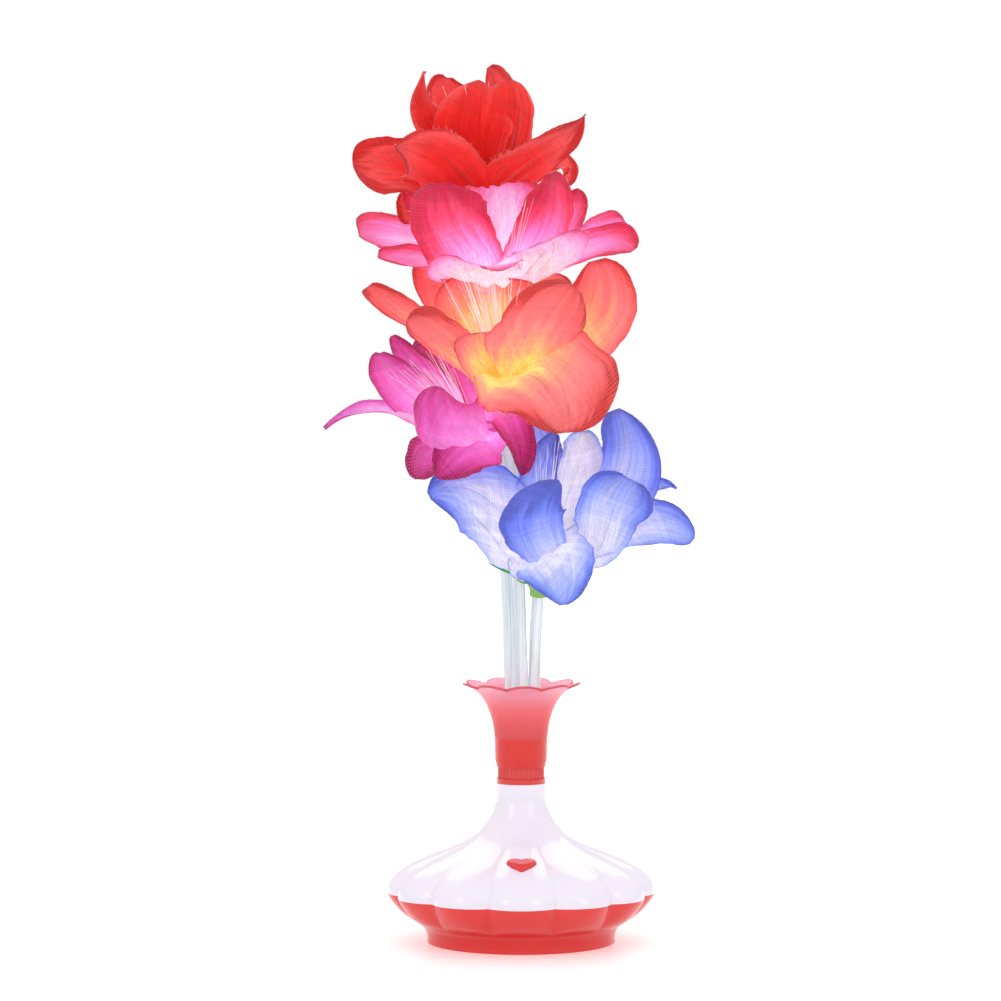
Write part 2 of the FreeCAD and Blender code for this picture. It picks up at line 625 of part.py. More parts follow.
def bundle_route(flower):
    """From the bundle's place in the ferrule, past the trumpet's rim, to the flower's throat.

    Four bundles stand in a square, at the rim and higher up, and the lowest flower's beside them.
    """
    angle, apart = -flower["foot"] * 2 * math.pi / BUNDLES, BUNDLE_R + BUNDLE_GAP
    x, y = BUNDLE_RING_R * math.cos(angle), BUNDLE_RING_R * math.sin(angle)
    route = [V(x, y, PLUG_Z), V(x, y, GRIP_TOP_Z)]
    rim_z = GRIP_TOP_Z + TRUMPET_OUTSIDE[-1][1] + 3.3
    if flower["side"] is None:
        route.append(V(2.28 * apart, -0.34 * apart, rim_z))
    else:
        right, back = flower["side"]
        route.append(V(right * apart - 2, back * apart, rim_z))
        route.append(above_neck(V(right * apart - 3.1, back * (apart + 0.35), SQUARE_Z)))
    axis, hub = V(flower["axis"]).normalize(), above_neck(flower["hub"])
    route += [above_neck(point) for point in flower["stem"]]
    return route + [hub - axis * BUNDLE_END, hub + axis * (COLLAR_HEIGHT + 1)]


def fibres(name):
    """The bundle from the ferrule to the flower's throat, and the fibres that fan out of its end."""
    flower = FLOWERS[name]
    route = bundle_route(flower)
    solids = [bundle_along(route, BUNDLE_R)]
    for i, length in enumerate(LOOSE_FIBRES):
        rod = box(-FIBRE / 2, FIBRE / 2, -1.3 - FIBRE / 2, -1.3 + FIBRE / 2, 0, length)
        rod.rotate(V(0, 0, 0), V(1, 0, 0), 6)
        rod.rotate(V(0, 0, 0), UP, i * 360 / len(LOOSE_FIBRES) + 20)
        rod.translate(V(0, 0, COLLAR_HEIGHT + 1.2))
        rod.Placement = flower_placement(flower).multiply(rod.Placement)
        solids.append(rod)
    return Part.makeCompound(solids)


def sepal(azimuth, length):
    """A pointed leaf that leaves the calyx's rim and droops a little."""
    half, thick, root = SEPAL_WIDTH / 2, CLOTH / 2, BUNDLE_R + CUP_PROFILE[-1][0] - 0.8
    rings = []
    for s, width, droop in [(0.0, 0.7, 0.0), (0.45, 1.0, 0.06), (1.0, 0.15, 0.3)]:
        y, z = -root - s * length, -1.2 - droop * s * length
        corners = ((-1, -1), (1, -1), (1, 1), (-1, 1))
        rings.append([V(a * half * width, y, z + b * thick) for a, b in corners])
    leaf = stacked(rings)
    leaf.rotate(V(0, 0, 0), UP, azimuth)
    return leaf


def bundle_hole(z, height):
    radius = (BUNDLE_R + BUNDLE_GAP) / math.cos(math.pi / CUP_SIDES)
    return Part.Face(closed(polygon(CUP_SIDES, radius, z))).extrude(V(0, 0, height))


def calyx(name):
    """The green cup under the petals, with sepals that leave room for the stems that go by."""
    flower = FLOWERS[name]
    count, length = flower["sepals"]
    first = (flower["passing"] + [0])[0] + 180 / count
    leaves = [sepal(first + 360 / count * i, length) for i in range(count)]
    cup = stacked([polygon(CUP_SIDES, BUNDLE_R + r, z) for r, z in CUP_PROFILE])
    cup = cup.fuse(leaves).cut(bundle_hole(-10, 20))
    cup.Placement = flower_placement(flower)
    return cup


def collar(name):
    """The tube that holds the inner petals round the bundle."""
    outline = closed(polygon(CUP_SIDES, BUNDLE_R + COLLAR_WALL, SEAT))
    tube = Part.Face(outline).extrude(V(0, 0, COLLAR_HEIGHT - SEAT))
    tube = tube.cut(bundle_hole(-1, 20))
    tube.Placement = flower_placement(FLOWERS[name])
    return tube


def half_gap(azimuth, others):
    """Half the angle to the nearest of the other azimuths, in radians."""
    turns = [abs((azimuth - other + 180) % 360 - 180) for other in others if other != azimuth]
    return math.radians(min(turns + [110]) / 2)


def petal(row, root, others):
    """A cupped cloth petal in its flower's frame, with the axis up and the front towards -Y.

    Its spine leans from the axis by the row's three angles, blended as a quadratic.  It is as
    wide as its form asks for, and no wider than its share of the room round the axis.
    """
    azimuth, length, width, lean_foot, lean_mid, lean_tip = row
    share = math.tan(half_gap(azimuth, others))
    steps = 40
    spine, radius, height = {}, BUNDLE_R + root[0], root[1]
    for i in range(steps + 1):
        s = i / steps
        lean = math.radians(lean_foot * (1 - s) ** 2 + 2 * lean_mid * s * (1 - s) + lean_tip * s * s)
        spine[i] = (radius, height, lean)
        radius += length / steps * math.sin(lean)
        height += length / steps * math.cos(lean)
    rings = []
    for s, form in zip(PETAL_STATIONS, PETAL_FORM):
        radius, height, lean = spine[round(s * steps)]
        half = min(width / 2 * form, 0.8 * radius * share)
        cup = math.radians(PETAL_CUP[0] * (1 - s) + PETAL_CUP[1] * s)
        skins = [[], []]
        for j in range(PETAL_ACROSS + 1):
            turn = cup * (2 * j / PETAL_ACROSS - 1)
            across, rise = half * math.sin(turn) / cup, half * (1 - math.cos(turn)) / cup
            for skin, side in zip(skins, (-CLOTH / 2, CLOTH / 2)):
                x, out = across - side * math.sin(turn), rise + side * math.cos(turn)
                skin.append(V(x, out * math.cos(lean) - radius, height + out * math.sin(lean)))
        rings.append(skins[0] + skins[1][::-1])
    solid = stacked(rings)
    solid.rotate(V(0, 0, 0), UP, azimuth)
    return solid


def petals(name, layer, root):
    flower = FLOWERS[name]
    others = [row[0] for row in flower[layer]] + flower["passing"]
    solids = []
    for row in flower[layer]:
        solid = petal(row, root, others)
        solid.Placement = flower_placement(flower).multiply(solid.Placement)
        solids.append(solid)
    return Part.makeCompound(solids)


# ---------------------------------------------------------------- all the parts
def build():
    parts = {
        "lower_shell": lower_shell(),
        "upper_shell": upper_shell(),
        "battery_door": battery_door(),
        "contact_plus": contact(1, [0]),
        "contact_minus": contact(-1, [2]),
        "contact_bridge_left": contact(-1, [0, 1]),
        "contact_bridge_right": contact(1, [1, 2]),
        "circuit_board": circuit_board(),
        "shell_screws": shell_screws(),
        "board_screws": board_screws(),
        "switch_body": switch_body(),
        "switch_plunger": switch_plunger(),
        "heart_button": heart_button(),
        "neck_plug": neck_plug(),
        "ferrule": ferrule(),
        "trumpet": trumpet(),
    }
    for i in range(CELLS):
        parts[f"cell_{i + 1}"] = cell(i)
    for i in range(LEDS):
        parts[f"led_{i + 1}"] = led(i)
    for name in FLOWERS:
        parts[f"{name}_fibres"] = fibres(name)
        parts[f"{name}_calyx"] = calyx(name)
        parts[f"{name}_collar"] = collar(name)
        parts[f"{name}_outer_petals"] = petals(name, "outer", OUTER_ROOT)
        parts[f"{name}_inner_petals"] = petals(name, "inner", INNER_ROOT)
    return parts


os.makedirs("parts", exist_ok=True)
for node, shape in build().items():
    shape.exportStep(f"parts/{node}.step")
    print(f"{node}: {len(shape.Solids)} solid(s), {shape.Volume:.0f} mm3, valid {shape.isValid()}")
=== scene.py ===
import math
import bmesh
import bpy
import numpy as np
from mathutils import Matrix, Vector


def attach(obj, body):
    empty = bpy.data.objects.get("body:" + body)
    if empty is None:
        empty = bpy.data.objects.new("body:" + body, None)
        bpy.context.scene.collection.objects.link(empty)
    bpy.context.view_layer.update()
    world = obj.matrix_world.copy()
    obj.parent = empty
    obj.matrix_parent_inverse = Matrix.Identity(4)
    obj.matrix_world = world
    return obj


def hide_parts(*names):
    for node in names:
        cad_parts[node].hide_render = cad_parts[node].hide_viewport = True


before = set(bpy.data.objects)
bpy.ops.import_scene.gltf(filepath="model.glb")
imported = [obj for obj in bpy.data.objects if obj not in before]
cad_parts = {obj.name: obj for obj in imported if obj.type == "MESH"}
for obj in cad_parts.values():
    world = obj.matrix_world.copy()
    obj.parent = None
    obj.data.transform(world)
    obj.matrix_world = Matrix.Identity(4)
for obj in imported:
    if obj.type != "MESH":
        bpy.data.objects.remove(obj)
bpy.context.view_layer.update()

MM = 0.001
BODY_BASE, BODY_BUTTON, BODY_DOOR, BODY_BOUQUET = "base", "button", "door", "bouquet"
rng = np.random.default_rng(7)


def put(name, data):
    """A new object in the scene."""
    thing = bpy.data.objects.new(name, data)
    bpy.context.scene.collection.objects.link(thing)
    return thing


# ------------------------------------------------------------------ camera
IMAGE_PX = 1001
FOCAL_PX = 3500.0
SENSOR_MM = 36.0
CAMERA_AT = np.array([-8.0, -1361.0, 207.5])
CAMERA_PITCH = math.radians(1.505)


def make_camera():
    """A camera a good metre in front of the lamp, level with its flowers and tipped down a little."""
    data = bpy.data.cameras.new("camera")
    data.sensor_width = SENSOR_MM
    data.sensor_fit = "HORIZONTAL"
    data.lens = FOCAL_PX / IMAGE_PX * SENSOR_MM
    data.clip_end = 50.0
    camera = put("camera", data)
    camera.location = CAMERA_AT * MM
    camera.rotation_euler = (math.pi / 2 - CAMERA_PITCH, 0.0, 0.0)
    bpy.context.scene.camera = camera


def on_view(px, py, depth):
    """The point at Y = depth, in millimetres, that the camera sees at the pixel (px, py)."""
    down = np.array([0.0, math.cos(CAMERA_PITCH), -math.sin(CAMERA_PITCH)])
    up = np.array([0.0, math.sin(CAMERA_PITCH), math.cos(CAMERA_PITCH)])
    middle = IMAGE_PX / 2
    ray = down - up * (py - middle) / FOCAL_PX
    ray[0] = (px - middle) / FOCAL_PX
    return CAMERA_AT + ray * (depth - CAMERA_AT[1]) / ray[1]


# ------------------------------------------------------------------ small helpers for arrays
def unit(v):
    """Vectors brought to a length of one."""
    v = np.asarray(v, float)
    return v / np.maximum(np.linalg.norm(v, axis=-1, keepdims=True), 1e-9)


def smooth(x):
    """Eases the way from 0 to 1, as 3 x2 - 2 x3, and stays flat outside."""
    x = np.clip(x, 0.0, 1.0)
    return x * x * (3 - 2 * x)


def natural_spline(points, count):
    """A natural cubic spline through the points, with the chord length as its parameter."""
    p = np.asarray(points, float)
    t = np.concatenate([[0.0], np.cumsum(np.linalg.norm(np.diff(p, axis=0), axis=1))])
    h = np.diff(t)
    n = len(p)
    system, right = np.eye(n), np.zeros_like(p)
    for i in range(1, n - 1):
        system[i, i - 1:i + 2] = h[i - 1], 2 * (h[i - 1] + h[i]), h[i]
        right[i] = 6 * ((p[i + 1] - p[i]) / h[i] - (p[i] - p[i - 1]) / h[i - 1])
    bend = np.linalg.solve(system, right)
    u = np.linspace(0.0, t[-1], count)
    i = np.clip(np.searchsorted(t, u, side="right") - 1, 0, n - 2)
    a, b, hi = (u - t[i])[:, None], (t[i + 1] - u)[:, None], h[i][:, None]
    return (bend[i] * b ** 3 + bend[i + 1] * a ** 3) / (6 * hi) \
        + (p[i] / hi - bend[i] * hi / 6) * b + (p[i + 1] / hi - bend[i + 1] * hi / 6) * a


def grid_faces(rows, columns, closed=False):
    """The quads of a grid of rows x columns points, with the last column joined to the first if closed."""
    i = np.arange(rows - 1)[:, None] * columns
    j = np.arange(columns if closed else columns - 1)[None, :]
    k = (j + 1) % columns
    return np.stack([i + j, i + k, i + columns + k, i + columns + j], -1).reshape(-1, 4)


def values_of(items, key, size=1, kind=float):
    """One value of all of a mesh's items, as an array with size columns."""
    found = np.empty(len(items) * size, kind)
    items.foreach_get(key, found)
    return found.reshape(-1, size) if size > 1 else found


def riding(name, mesh, body, material):
    """A smooth object of one material, which rides on a body."""
    mesh.polygons.foreach_set("use_smooth", np.ones(len(mesh.polygons), bool))
    mesh.materials.append(material)
    thing = put(name, mesh)
    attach(thing, body)
    return thing


def piece(name, points, faces, body, material, slot, uv=None, marks=None):
    """A smooth mesh object from points in millimetres, riding on a body.

    faces is an array of quads or triangles, or a list of such arrays.  uv is each point's place on the
    flat cloth, and marks are named values with one for each point.
    """
    mesh = bpy.data.meshes.new(name)
    faces = faces if isinstance(faces, list) else [faces]
    corner_lists = [face for part in faces for face in part.tolist()]
    mesh.from_pydata((np.asarray(points) * MM).tolist(), [], corner_lists)
    if uv is not None:
        corners = np.concatenate([part.ravel() for part in faces])
        layer = mesh.uv_layers.new(name="cloth")
        layer.data.foreach_set("uv", uv[corners].astype(np.float32).ravel())
    for key, values in (marks or {}).items():
        mark = mesh.attributes.new(key, "FLOAT", "POINT")
        mark.data.foreach_set("value", np.asarray(values, np.float32).ravel())
    mesh.update()
    return riding(name, mesh, body, material)


def weld(mesh, outward=False):
    """Merges a mesh's points that lie on each other, and turns its faces outwards if that is asked."""
    edit = bmesh.new()
    edit.from_mesh(mesh)
    bmesh.ops.remove_doubles(edit, verts=edit.verts, dist=1e-6)
    if outward:
        bmesh.ops.recalc_face_normals(edit, faces=edit.faces)
    edit.to_mesh(mesh)
    edit.free()


def route_line(points):
    """Even steps along the smooth line that a route in millimetres steers, as an (n, 3) array."""
    curve = bpy.data.curves.new("route", "CURVE")
    curve.dimensions = "3D"
    spline = curve.splines.new("NURBS")
    spline.points.add(len(points) - 1)
    for place, point in zip(spline.points, points):
        place.co = (*point, 1.0)
    spline.order_u = 3
    spline.use_endpoint_u = True
    curve.resolution_u = 16
    carrier = bpy.data.objects.new("route", curve)
    mesh = bpy.data.meshes.new_from_object(carrier)
    line = values_of(mesh.vertices, "co", 3)
    bpy.data.objects.remove(carrier)
    bpy.data.curves.remove(curve)
    bpy.data.meshes.remove(mesh)
    return line


def along_line(line, shares):
    """The points at the given shares of a line's length."""
    run = np.concatenate([[0.0], np.cumsum(np.linalg.norm(np.diff(line, axis=0), axis=1))])
    at = np.asarray(shares) * run[-1]
    return np.stack([np.interp(at, run, line[:, k]) for k in range(3)], -1)


def side_frames(paths):
    """Two directions square to each path of an (n, steps, 3) array, turned as little as may be."""
    ahead = unit(np.gradient(paths, axis=1))
    across = unit(np.cross(ahead, np.array([0.31, 0.95, 0.05])))
    return across, np.cross(ahead, across)


ROD_SIDES = 3  # of a thread or a fibre


def strands(paths, radius):
    """Thin rods along the paths: a ring of points round each step, and a cap on both ends.

    paths is (n, steps, 3), and radius one number or one for each rod.
    """
    n, steps, _ = paths.shape
    across, other = side_frames(paths)
    turn = 2 * math.pi * np.arange(ROD_SIDES) / ROD_SIDES
    r = np.broadcast_to(np.asarray(radius, float), (n,))[:, None, None, None]
    rings = paths[:, :, None] + r * (across[:, :, None] * np.cos(turn)[None, None, :, None]
                                     + other[:, :, None] * np.sin(turn)[None, None, :, None])
    first, ring = steps * ROD_SIDES * np.arange(n)[:, None, None], np.arange(ROD_SIDES)
    sides = first + grid_faces(steps, ROD_SIDES, closed=True)
    caps = first + np.stack([ring[::-1], (steps - 1) * ROD_SIDES + ring])
    return rings.reshape(-1, 3), [sides.reshape(-1, 4), caps.reshape(-1, ROD_SIDES)]


# ------------------------------------------------------------------ small helpers for materials
def linear(red, green, blue):
    """A colour given in display values of 0 to 1, as the scene's own values."""
    values = np.array([red, green, blue])
    values = np.where(values <= 0.04045, values / 12.92, ((values + 0.055) / 1.055) ** 2.4)
    return (*values.tolist(), 1.0)


def add(tree, kind, inputs=None, **settings):
    """Adds a node, and gives each input a fixed value or a link from a socket."""
    made = tree.nodes.new(kind)
    for key, value in settings.items():
        setattr(made, key, value)
    for key, value in (inputs or {}).items():
        if isinstance(value, bpy.types.NodeSocket):
            tree.links.new(value, made.inputs[key])
        else:
            made.inputs[key].default_value = value
    return made


def calc(tree, operation, a, b=0.0, c=0.0, clamp=False):
    """One sum on values that change over the surface."""
    made = add(tree, "ShaderNodeMath", {0: a, 1: b, 2: c}, operation=operation, use_clamp=clamp)
    return made.outputs[0]


def between(tree, value, low, high):
    """How far value is on the way from low to high, from 0 to 1, eased at both ends."""
    made = add(tree, "ShaderNodeMapRange", {0: value, 1: low, 2: high, 3: 0.0, 4: 1.0},
               interpolation_type="SMOOTHSTEP")
    return made.outputs[0]


def blend_colour(tree, share, a, b, kind="MIX"):
    """Two colours blended, with a share of the second."""
    made = add(tree, "ShaderNodeMix", {0: share, 6: a, 7: b}, data_type="RGBA", blend_type=kind)
    return made.outputs[2]


def noise(tree, place, scale, detail=2.0, rough=0.5):
    """Noise around 0.5, at scale waves to one unit of place."""
    made = add(tree, "ShaderNodeTexNoise",
               {"Vector": place, "Scale": scale, "Detail": detail, "Roughness": rough})
    return made.outputs["Fac"]


def bump(tree, height, distance, strength=1.0, normal=None):
    """The normal of a surface raised by height times distance, on top of another normal if one is given."""
    made = add(tree, "ShaderNodeBump", {"Height": height, "Distance": distance, "Strength": strength})
    if normal is not None:
        tree.links.new(normal, made.inputs["Normal"])
    return made.outputs["Normal"]


def ramp(tree, share, stops):
    """A colour ramp with the stops [(place, colour)]."""
    made = add(tree, "ShaderNodeValToRGB", {"Fac": share})
    band = made.color_ramp
    while len(band.elements) < len(stops):
        band.elements.new(0.5)
    for element, (place, colour) in zip(band.elements, stops):
        element.position, element.color = place, colour
    return made.outputs["Color"]


def own_mark(tree, name):
    """A value that the piece's mesh carries under this name."""
    return add(tree, "ShaderNodeAttribute", attribute_name=name).outputs["Fac"]


def object_place(tree):
    """The place on the object, in metres."""
    return add(tree, "ShaderNodeTexCoord").outputs["Object"]


def drawn_out(tree, x, x_scale, y, y_scale, z=0.0):
    """A place whose first two parts are x and y, each times its own scale, for a pattern with a grain."""
    return add(tree, "ShaderNodeCombineXYZ", {0: calc(tree, "MULTIPLY", x, x_scale),
                                              1: calc(tree, "MULTIPLY", y, y_scale), 2: z}).outputs[0]


def group(name, inputs, outputs):
    """An empty node group with float, vector or colour sockets, and its two end nodes."""
    tree = bpy.data.node_groups.new(name, "ShaderNodeTree")
    kinds = {"f": "NodeSocketFloat", "v": "NodeSocketVector", "c": "NodeSocketColor"}
    for key, kind in inputs.items():
        tree.interface.new_socket(key, in_out="INPUT", socket_type=kinds[kind])
    for key, kind in outputs.items():
        tree.interface.new_socket(key, in_out="OUTPUT", socket_type=kinds[kind])
    return tree, tree.nodes.new("NodeGroupInput").outputs, tree.nodes.new("NodeGroupOutput").inputs


def placed(tree, made, inputs):
    """Places a node group in a material and returns its outputs."""
    return add(tree, "ShaderNodeGroup", inputs, node_tree=made).outputs


def new_material(name):
    """A material with an empty tree, and its output's surface socket."""
    material = bpy.data.materials.new(name)
    material.use_nodes = True
    tree = material.node_tree
    tree.nodes.clear()
    return material, tree, tree.nodes.new("ShaderNodeOutputMaterial").inputs["Surface"]


def shader(tree, kind, **inputs):
    """A shader node, with _ for each space in its inputs' names."""
    return add(tree, "ShaderNode" + kind, {k.replace("_", " "): v for k, v in inputs.items()}).outputs[0]


def blend_shaders(tree, share, a, b):
    """Two shaders blended, with a share of the second."""
    return add(tree, "ShaderNodeMixShader", {0: share, 1: a, 2: b}).outputs[0]


# ------------------------------------------------------------------ effects that several materials share
def make_moulded():
    """Moulded plastic: slow changes of tone, a fine orange peel and a few dull smears."""
    tree, given, result = group("moulded plastic",
                                {"Colour": "c", "Pale Colour": "c", "Roughness": "f", "Grain": "f"},
                                {"Colour": "c", "Roughness": "f", "Normal": "v"})
    place = object_place(tree)
    pale = calc(tree, "MULTIPLY", between(tree, noise(tree, place, 45.0, 3.0), 0.3, 0.8), 0.25)
    tree.links.new(blend_colour(tree, pale, given["Colour"], given["Pale Colour"]), result["Colour"])
    smears = between(tree, noise(tree, place, 90.0, 4.0, 0.65), 0.45, 0.8)
    rough = calc(tree, "MULTIPLY_ADD", smears, 0.12, given["Roughness"], clamp=True)
    tree.links.new(rough, result["Roughness"])
    peel = calc(tree, "MULTIPLY", noise(tree, place, 900.0, 2.0), given["Grain"])
    tree.links.new(bump(tree, peel, 0.0001), result["Normal"])
    return tree


def make_weave():
    """A plain weave on the cloth's own coordinates, with holes where four threads meet.

    A thread is as high as the sine across it, and lies over the other where the two sines' product is
    positive.  A hole opens where both sines are small.  Slow noise lets the threads wander a little.
    """
    tree, given, result = group("plain weave", {"Vector": "v", "Threads": "f"},
                                {"Height": "f", "Gap": "f", "Tone": "f"})

    def vector(operation, inputs):
        """One sum on vectors."""
        return add(tree, "ShaderNodeVectorMath", inputs, operation=operation).outputs[0]

    slack = add(tree, "ShaderNodeTexNoise", {"Vector": given["Vector"], "Scale": 6.0, "Detail": 2.0})
    shift = vector("ADD", {0: slack.outputs["Color"], 1: (-0.5, -0.5, -0.5)})
    shift = vector("SCALE", {0: shift, "Scale": 0.010})
    scaled = vector("SCALE", {0: vector("ADD", {0: given["Vector"], 1: shift}), "Scale": given["Threads"]})
    axes = add(tree, "ShaderNodeSeparateXYZ", {0: scaled}).outputs[:2]
    warp, weft = (calc(tree, "SINE", calc(tree, "MULTIPLY", axis, math.pi)) for axis in axes)
    over = calc(tree, "MULTIPLY_ADD", calc(tree, "MULTIPLY", warp, weft), 1.5, 0.5, clamp=True)
    a, b = calc(tree, "ABSOLUTE", warp), calc(tree, "ABSOLUTE", weft)
    tree.links.new(calc(tree, "MULTIPLY_ADD", over, calc(tree, "SUBTRACT", a, b), b), result["Height"])
    loose = between(tree, noise(tree, given["Vector"], 5.0, 2.0), 0.35, 0.65)
    hole = calc(tree, "SUBTRACT", 1.0, between(tree, calc(tree, "MAXIMUM", a, b), 0.25, 0.58))
    opened = calc(tree, "MULTIPLY", hole, calc(tree, "MULTIPLY_ADD", loose, 0.55, 0.35))
    tree.links.new(opened, result["Gap"])
    tones = []
    for axis, lot in zip(axes, (0.3, 517.3)):
        number = calc(tree, "ADD", calc(tree, "FLOOR", axis), lot)
        chance = add(tree, "ShaderNodeTexWhiteNoise", {"W": number}, noise_dimensions="1D")
        tones.append(chance.outputs["Value"])
    tree.links.new(calc(tree, "MULTIPLY", calc(tree, "ADD", *tones), 0.5), result["Tone"])
    return tree


MOULDED = make_moulded()
WEAVE = make_weave()


# ------------------------------------------------------------------ materials
WHITE = (1.0, 1.0, 1.0, 1.0)


def plastic(name, colour, pale, roughness, grain=0.5, coat=0.0, specular=0.5):
    """Moulded plastic, with patches of a paler colour."""
    material, tree, surface = new_material(name)
    made = placed(tree, MOULDED, {"Colour": colour, "Pale Colour": pale, "Roughness": roughness,
                                  "Grain": grain})
    tree.links.new(shader(tree, "BsdfPrincipled", Base_Color=made["Colour"], Roughness=made["Roughness"],
                          Normal=made["Normal"], Coat_Weight=coat, Coat_Roughness=0.05,
                          Specular_IOR_Level=specular), surface)
    return material


def metal(name, colour, roughness):
    """Bright metal with fine drawing lines and dull patches."""
    material, tree, surface = new_material(name)
    place = object_place(tree)
    drawn = add(tree, "ShaderNodeMapping", {"Vector": place, "Scale": (40.0, 900.0, 900.0)}).outputs[0]
    lines = noise(tree, drawn, 1.0, 2.0)
    dull = between(tree, noise(tree, place, 250.0, 3.0), 0.4, 0.75)
    tone = blend_colour(tree, calc(tree, "MULTIPLY", dull, 0.35), colour, (0.28, 0.26, 0.24, 1.0))
    rough = calc(tree, "MULTIPLY_ADD", dull, 0.25, roughness, clamp=True)
    tree.links.new(shader(tree, "BsdfPrincipled", Base_Color=tone, Metallic=1.0, Roughness=rough,
                          Normal=bump(tree, lines, 0.00005)), surface)
    return material


TIP_DYE, DYE_ALONG, DYE_ACROSS = 0.92, 1.25, 2.2  # the tip's dye, and the powers along and across
STREAKED = 0.45  # how far the brush's streaks change the dye
SEARED_SIDE, SEARED_TIP, SEARED = 0.93, 0.972, 0.5  # where the seared edge's line begins, and its strength
VALLEY_SHADE, THREAD_TONES = 0.66, 0.22  # the light left between threads, and how much threads differ
SMOOTH_SHADE, FOLD_SHADE = 1.12, -0.20  # the light on smooth cloth, and what a fine fold changes in it
PAINTED_GLOW, PAINTED_HOLE_LIGHT, HOLE_CLEAR = 0.20, 0.45, 0.55  # painted glow on all of the cloth, painted light at the weave's holes, and the holes' clearness


def cloth(name, stops, side, glow, through, painted_hole_white):
    """Dyed petal cloth.  stops are the colours from the petal's foot to its edge.

    The dye's share is the sum of a power of the way along the petal, side times a power of the way
    across it, the petal's own shift and the brush's streaks.  Painted shade darkens the threads' valleys
    and fine folds, and the weave's holes are painted paler towards white by the given share, as painted
    light through them.  A share through of the light passes the cloth.  Painted glow lifts all of the
    cloth, more at the holes, and more again at its foot by glow, standing for the fibres' light.
    """
    material, tree, surface = new_material(name)
    flat = add(tree, "ShaderNodeUVMap", uv_map="cloth").outputs[0]
    woven = placed(tree, WEAVE, {"Vector": flat, "Threads": THREADS_PER_UV})
    along, across, lot = own_mark(tree, "along"), own_mark(tree, "across"), own_mark(tree, "lot")
    outward = calc(tree, "ABSOLUTE", across)
    lengthways = calc(tree, "MULTIPLY", calc(tree, "POWER", along, DYE_ALONG), TIP_DYE)
    sideways = calc(tree, "MULTIPLY", calc(tree, "POWER", outward, DYE_ACROSS), side)
    dye = calc(tree, "ADD", calc(tree, "ADD", lengthways, sideways), own_mark(tree, "dye"))
    streaks = noise(tree, drawn_out(tree, across, 4.0, along, 1.3, lot), 1.6, 3.0, 0.6)
    streaks = calc(tree, "MULTIPLY", calc(tree, "SUBTRACT", streaks, 0.5), STREAKED)
    colour = ramp(tree, calc(tree, "ADD", dye, streaks, clamp=True), stops)
    seared = calc(tree, "MAXIMUM", between(tree, outward, SEARED_SIDE, 1.0),
                  between(tree, along, SEARED_TIP, 1.0))
    colour = blend_colour(tree, calc(tree, "MULTIPLY", seared, SEARED), colour, stops[-1][1])
    shade = calc(tree, "MULTIPLY_ADD", woven["Height"], 1.0 - VALLEY_SHADE, VALLEY_SHADE)
    shade = calc(tree, "MULTIPLY_ADD", calc(tree, "SUBTRACT", woven["Tone"], 0.5), THREAD_TONES, shade)
    folds = between(tree, noise(tree, drawn_out(tree, across, 22.0, along, 0.9, lot), 1.0, 2.0), 0.60, 0.72)
    shade = calc(tree, "MULTIPLY", shade, calc(tree, "MULTIPLY_ADD", folds, FOLD_SHADE, SMOOTH_SHADE))
    grey = add(tree, "ShaderNodeCombineColor", {0: shade, 1: shade, 2: shade}).outputs[0]
    colour = blend_colour(tree, 1.0, colour, grey, "MULTIPLY")
    # painted light: the weave's holes are paled towards white, as if light shone through them
    colour = blend_colour(tree, calc(tree, "MULTIPLY", woven["Gap"], painted_hole_white), colour, WHITE)
    creases = noise(tree, drawn_out(tree, across, 9.0, along, 1.6, lot), 1.0, 4.0, 0.6)
    normal = bump(tree, woven["Height"], 0.00012, 0.7, bump(tree, creases, 0.004, 0.6))
    # painted glow: emission on the cloth, strongest at the petal's foot, where it stands for the fibres'
    # light, and at the holes
    painted_foot_glow = calc(tree, "POWER", calc(tree, "SUBTRACT", 1.0, along, clamp=True), 1.5)
    painted_light = calc(tree, "MULTIPLY_ADD", painted_foot_glow, glow, PAINTED_GLOW)
    painted_light = calc(tree, "MULTIPLY_ADD", woven["Gap"], PAINTED_HOLE_LIGHT, painted_light)
    front = shader(tree, "BsdfPrincipled", Base_Color=colour, Roughness=0.75, Normal=normal,
                   Sheen_Weight=0.25, Sheen_Roughness=0.4, Specular_IOR_Level=0.25,
                   Emission_Color=colour, Emission_Strength=painted_light)
    behind = shader(tree, "BsdfTranslucent", Color=colour, Normal=normal)
    solid = blend_shaders(tree, through, front, behind)
    holes = calc(tree, "MULTIPLY", woven["Gap"], HOLE_CLEAR)
    tree.links.new(blend_shaders(tree, holes, solid, shader(tree, "BsdfTransparent")), surface)
    return material


def thread_material(name, colour):
    """Loose threads at a cut edge, each a little lighter or darker."""
    material, tree, surface = new_material(name)
    tone = blend_colour(tree, calc(tree, "MULTIPLY_ADD", own_mark(tree, "lot"), 0.45, 0.3), colour, WHITE)
    tree.links.new(shader(tree, "BsdfPrincipled", Base_Color=tone, Roughness=0.6, Sheen_Weight=0.2), surface)
    return material


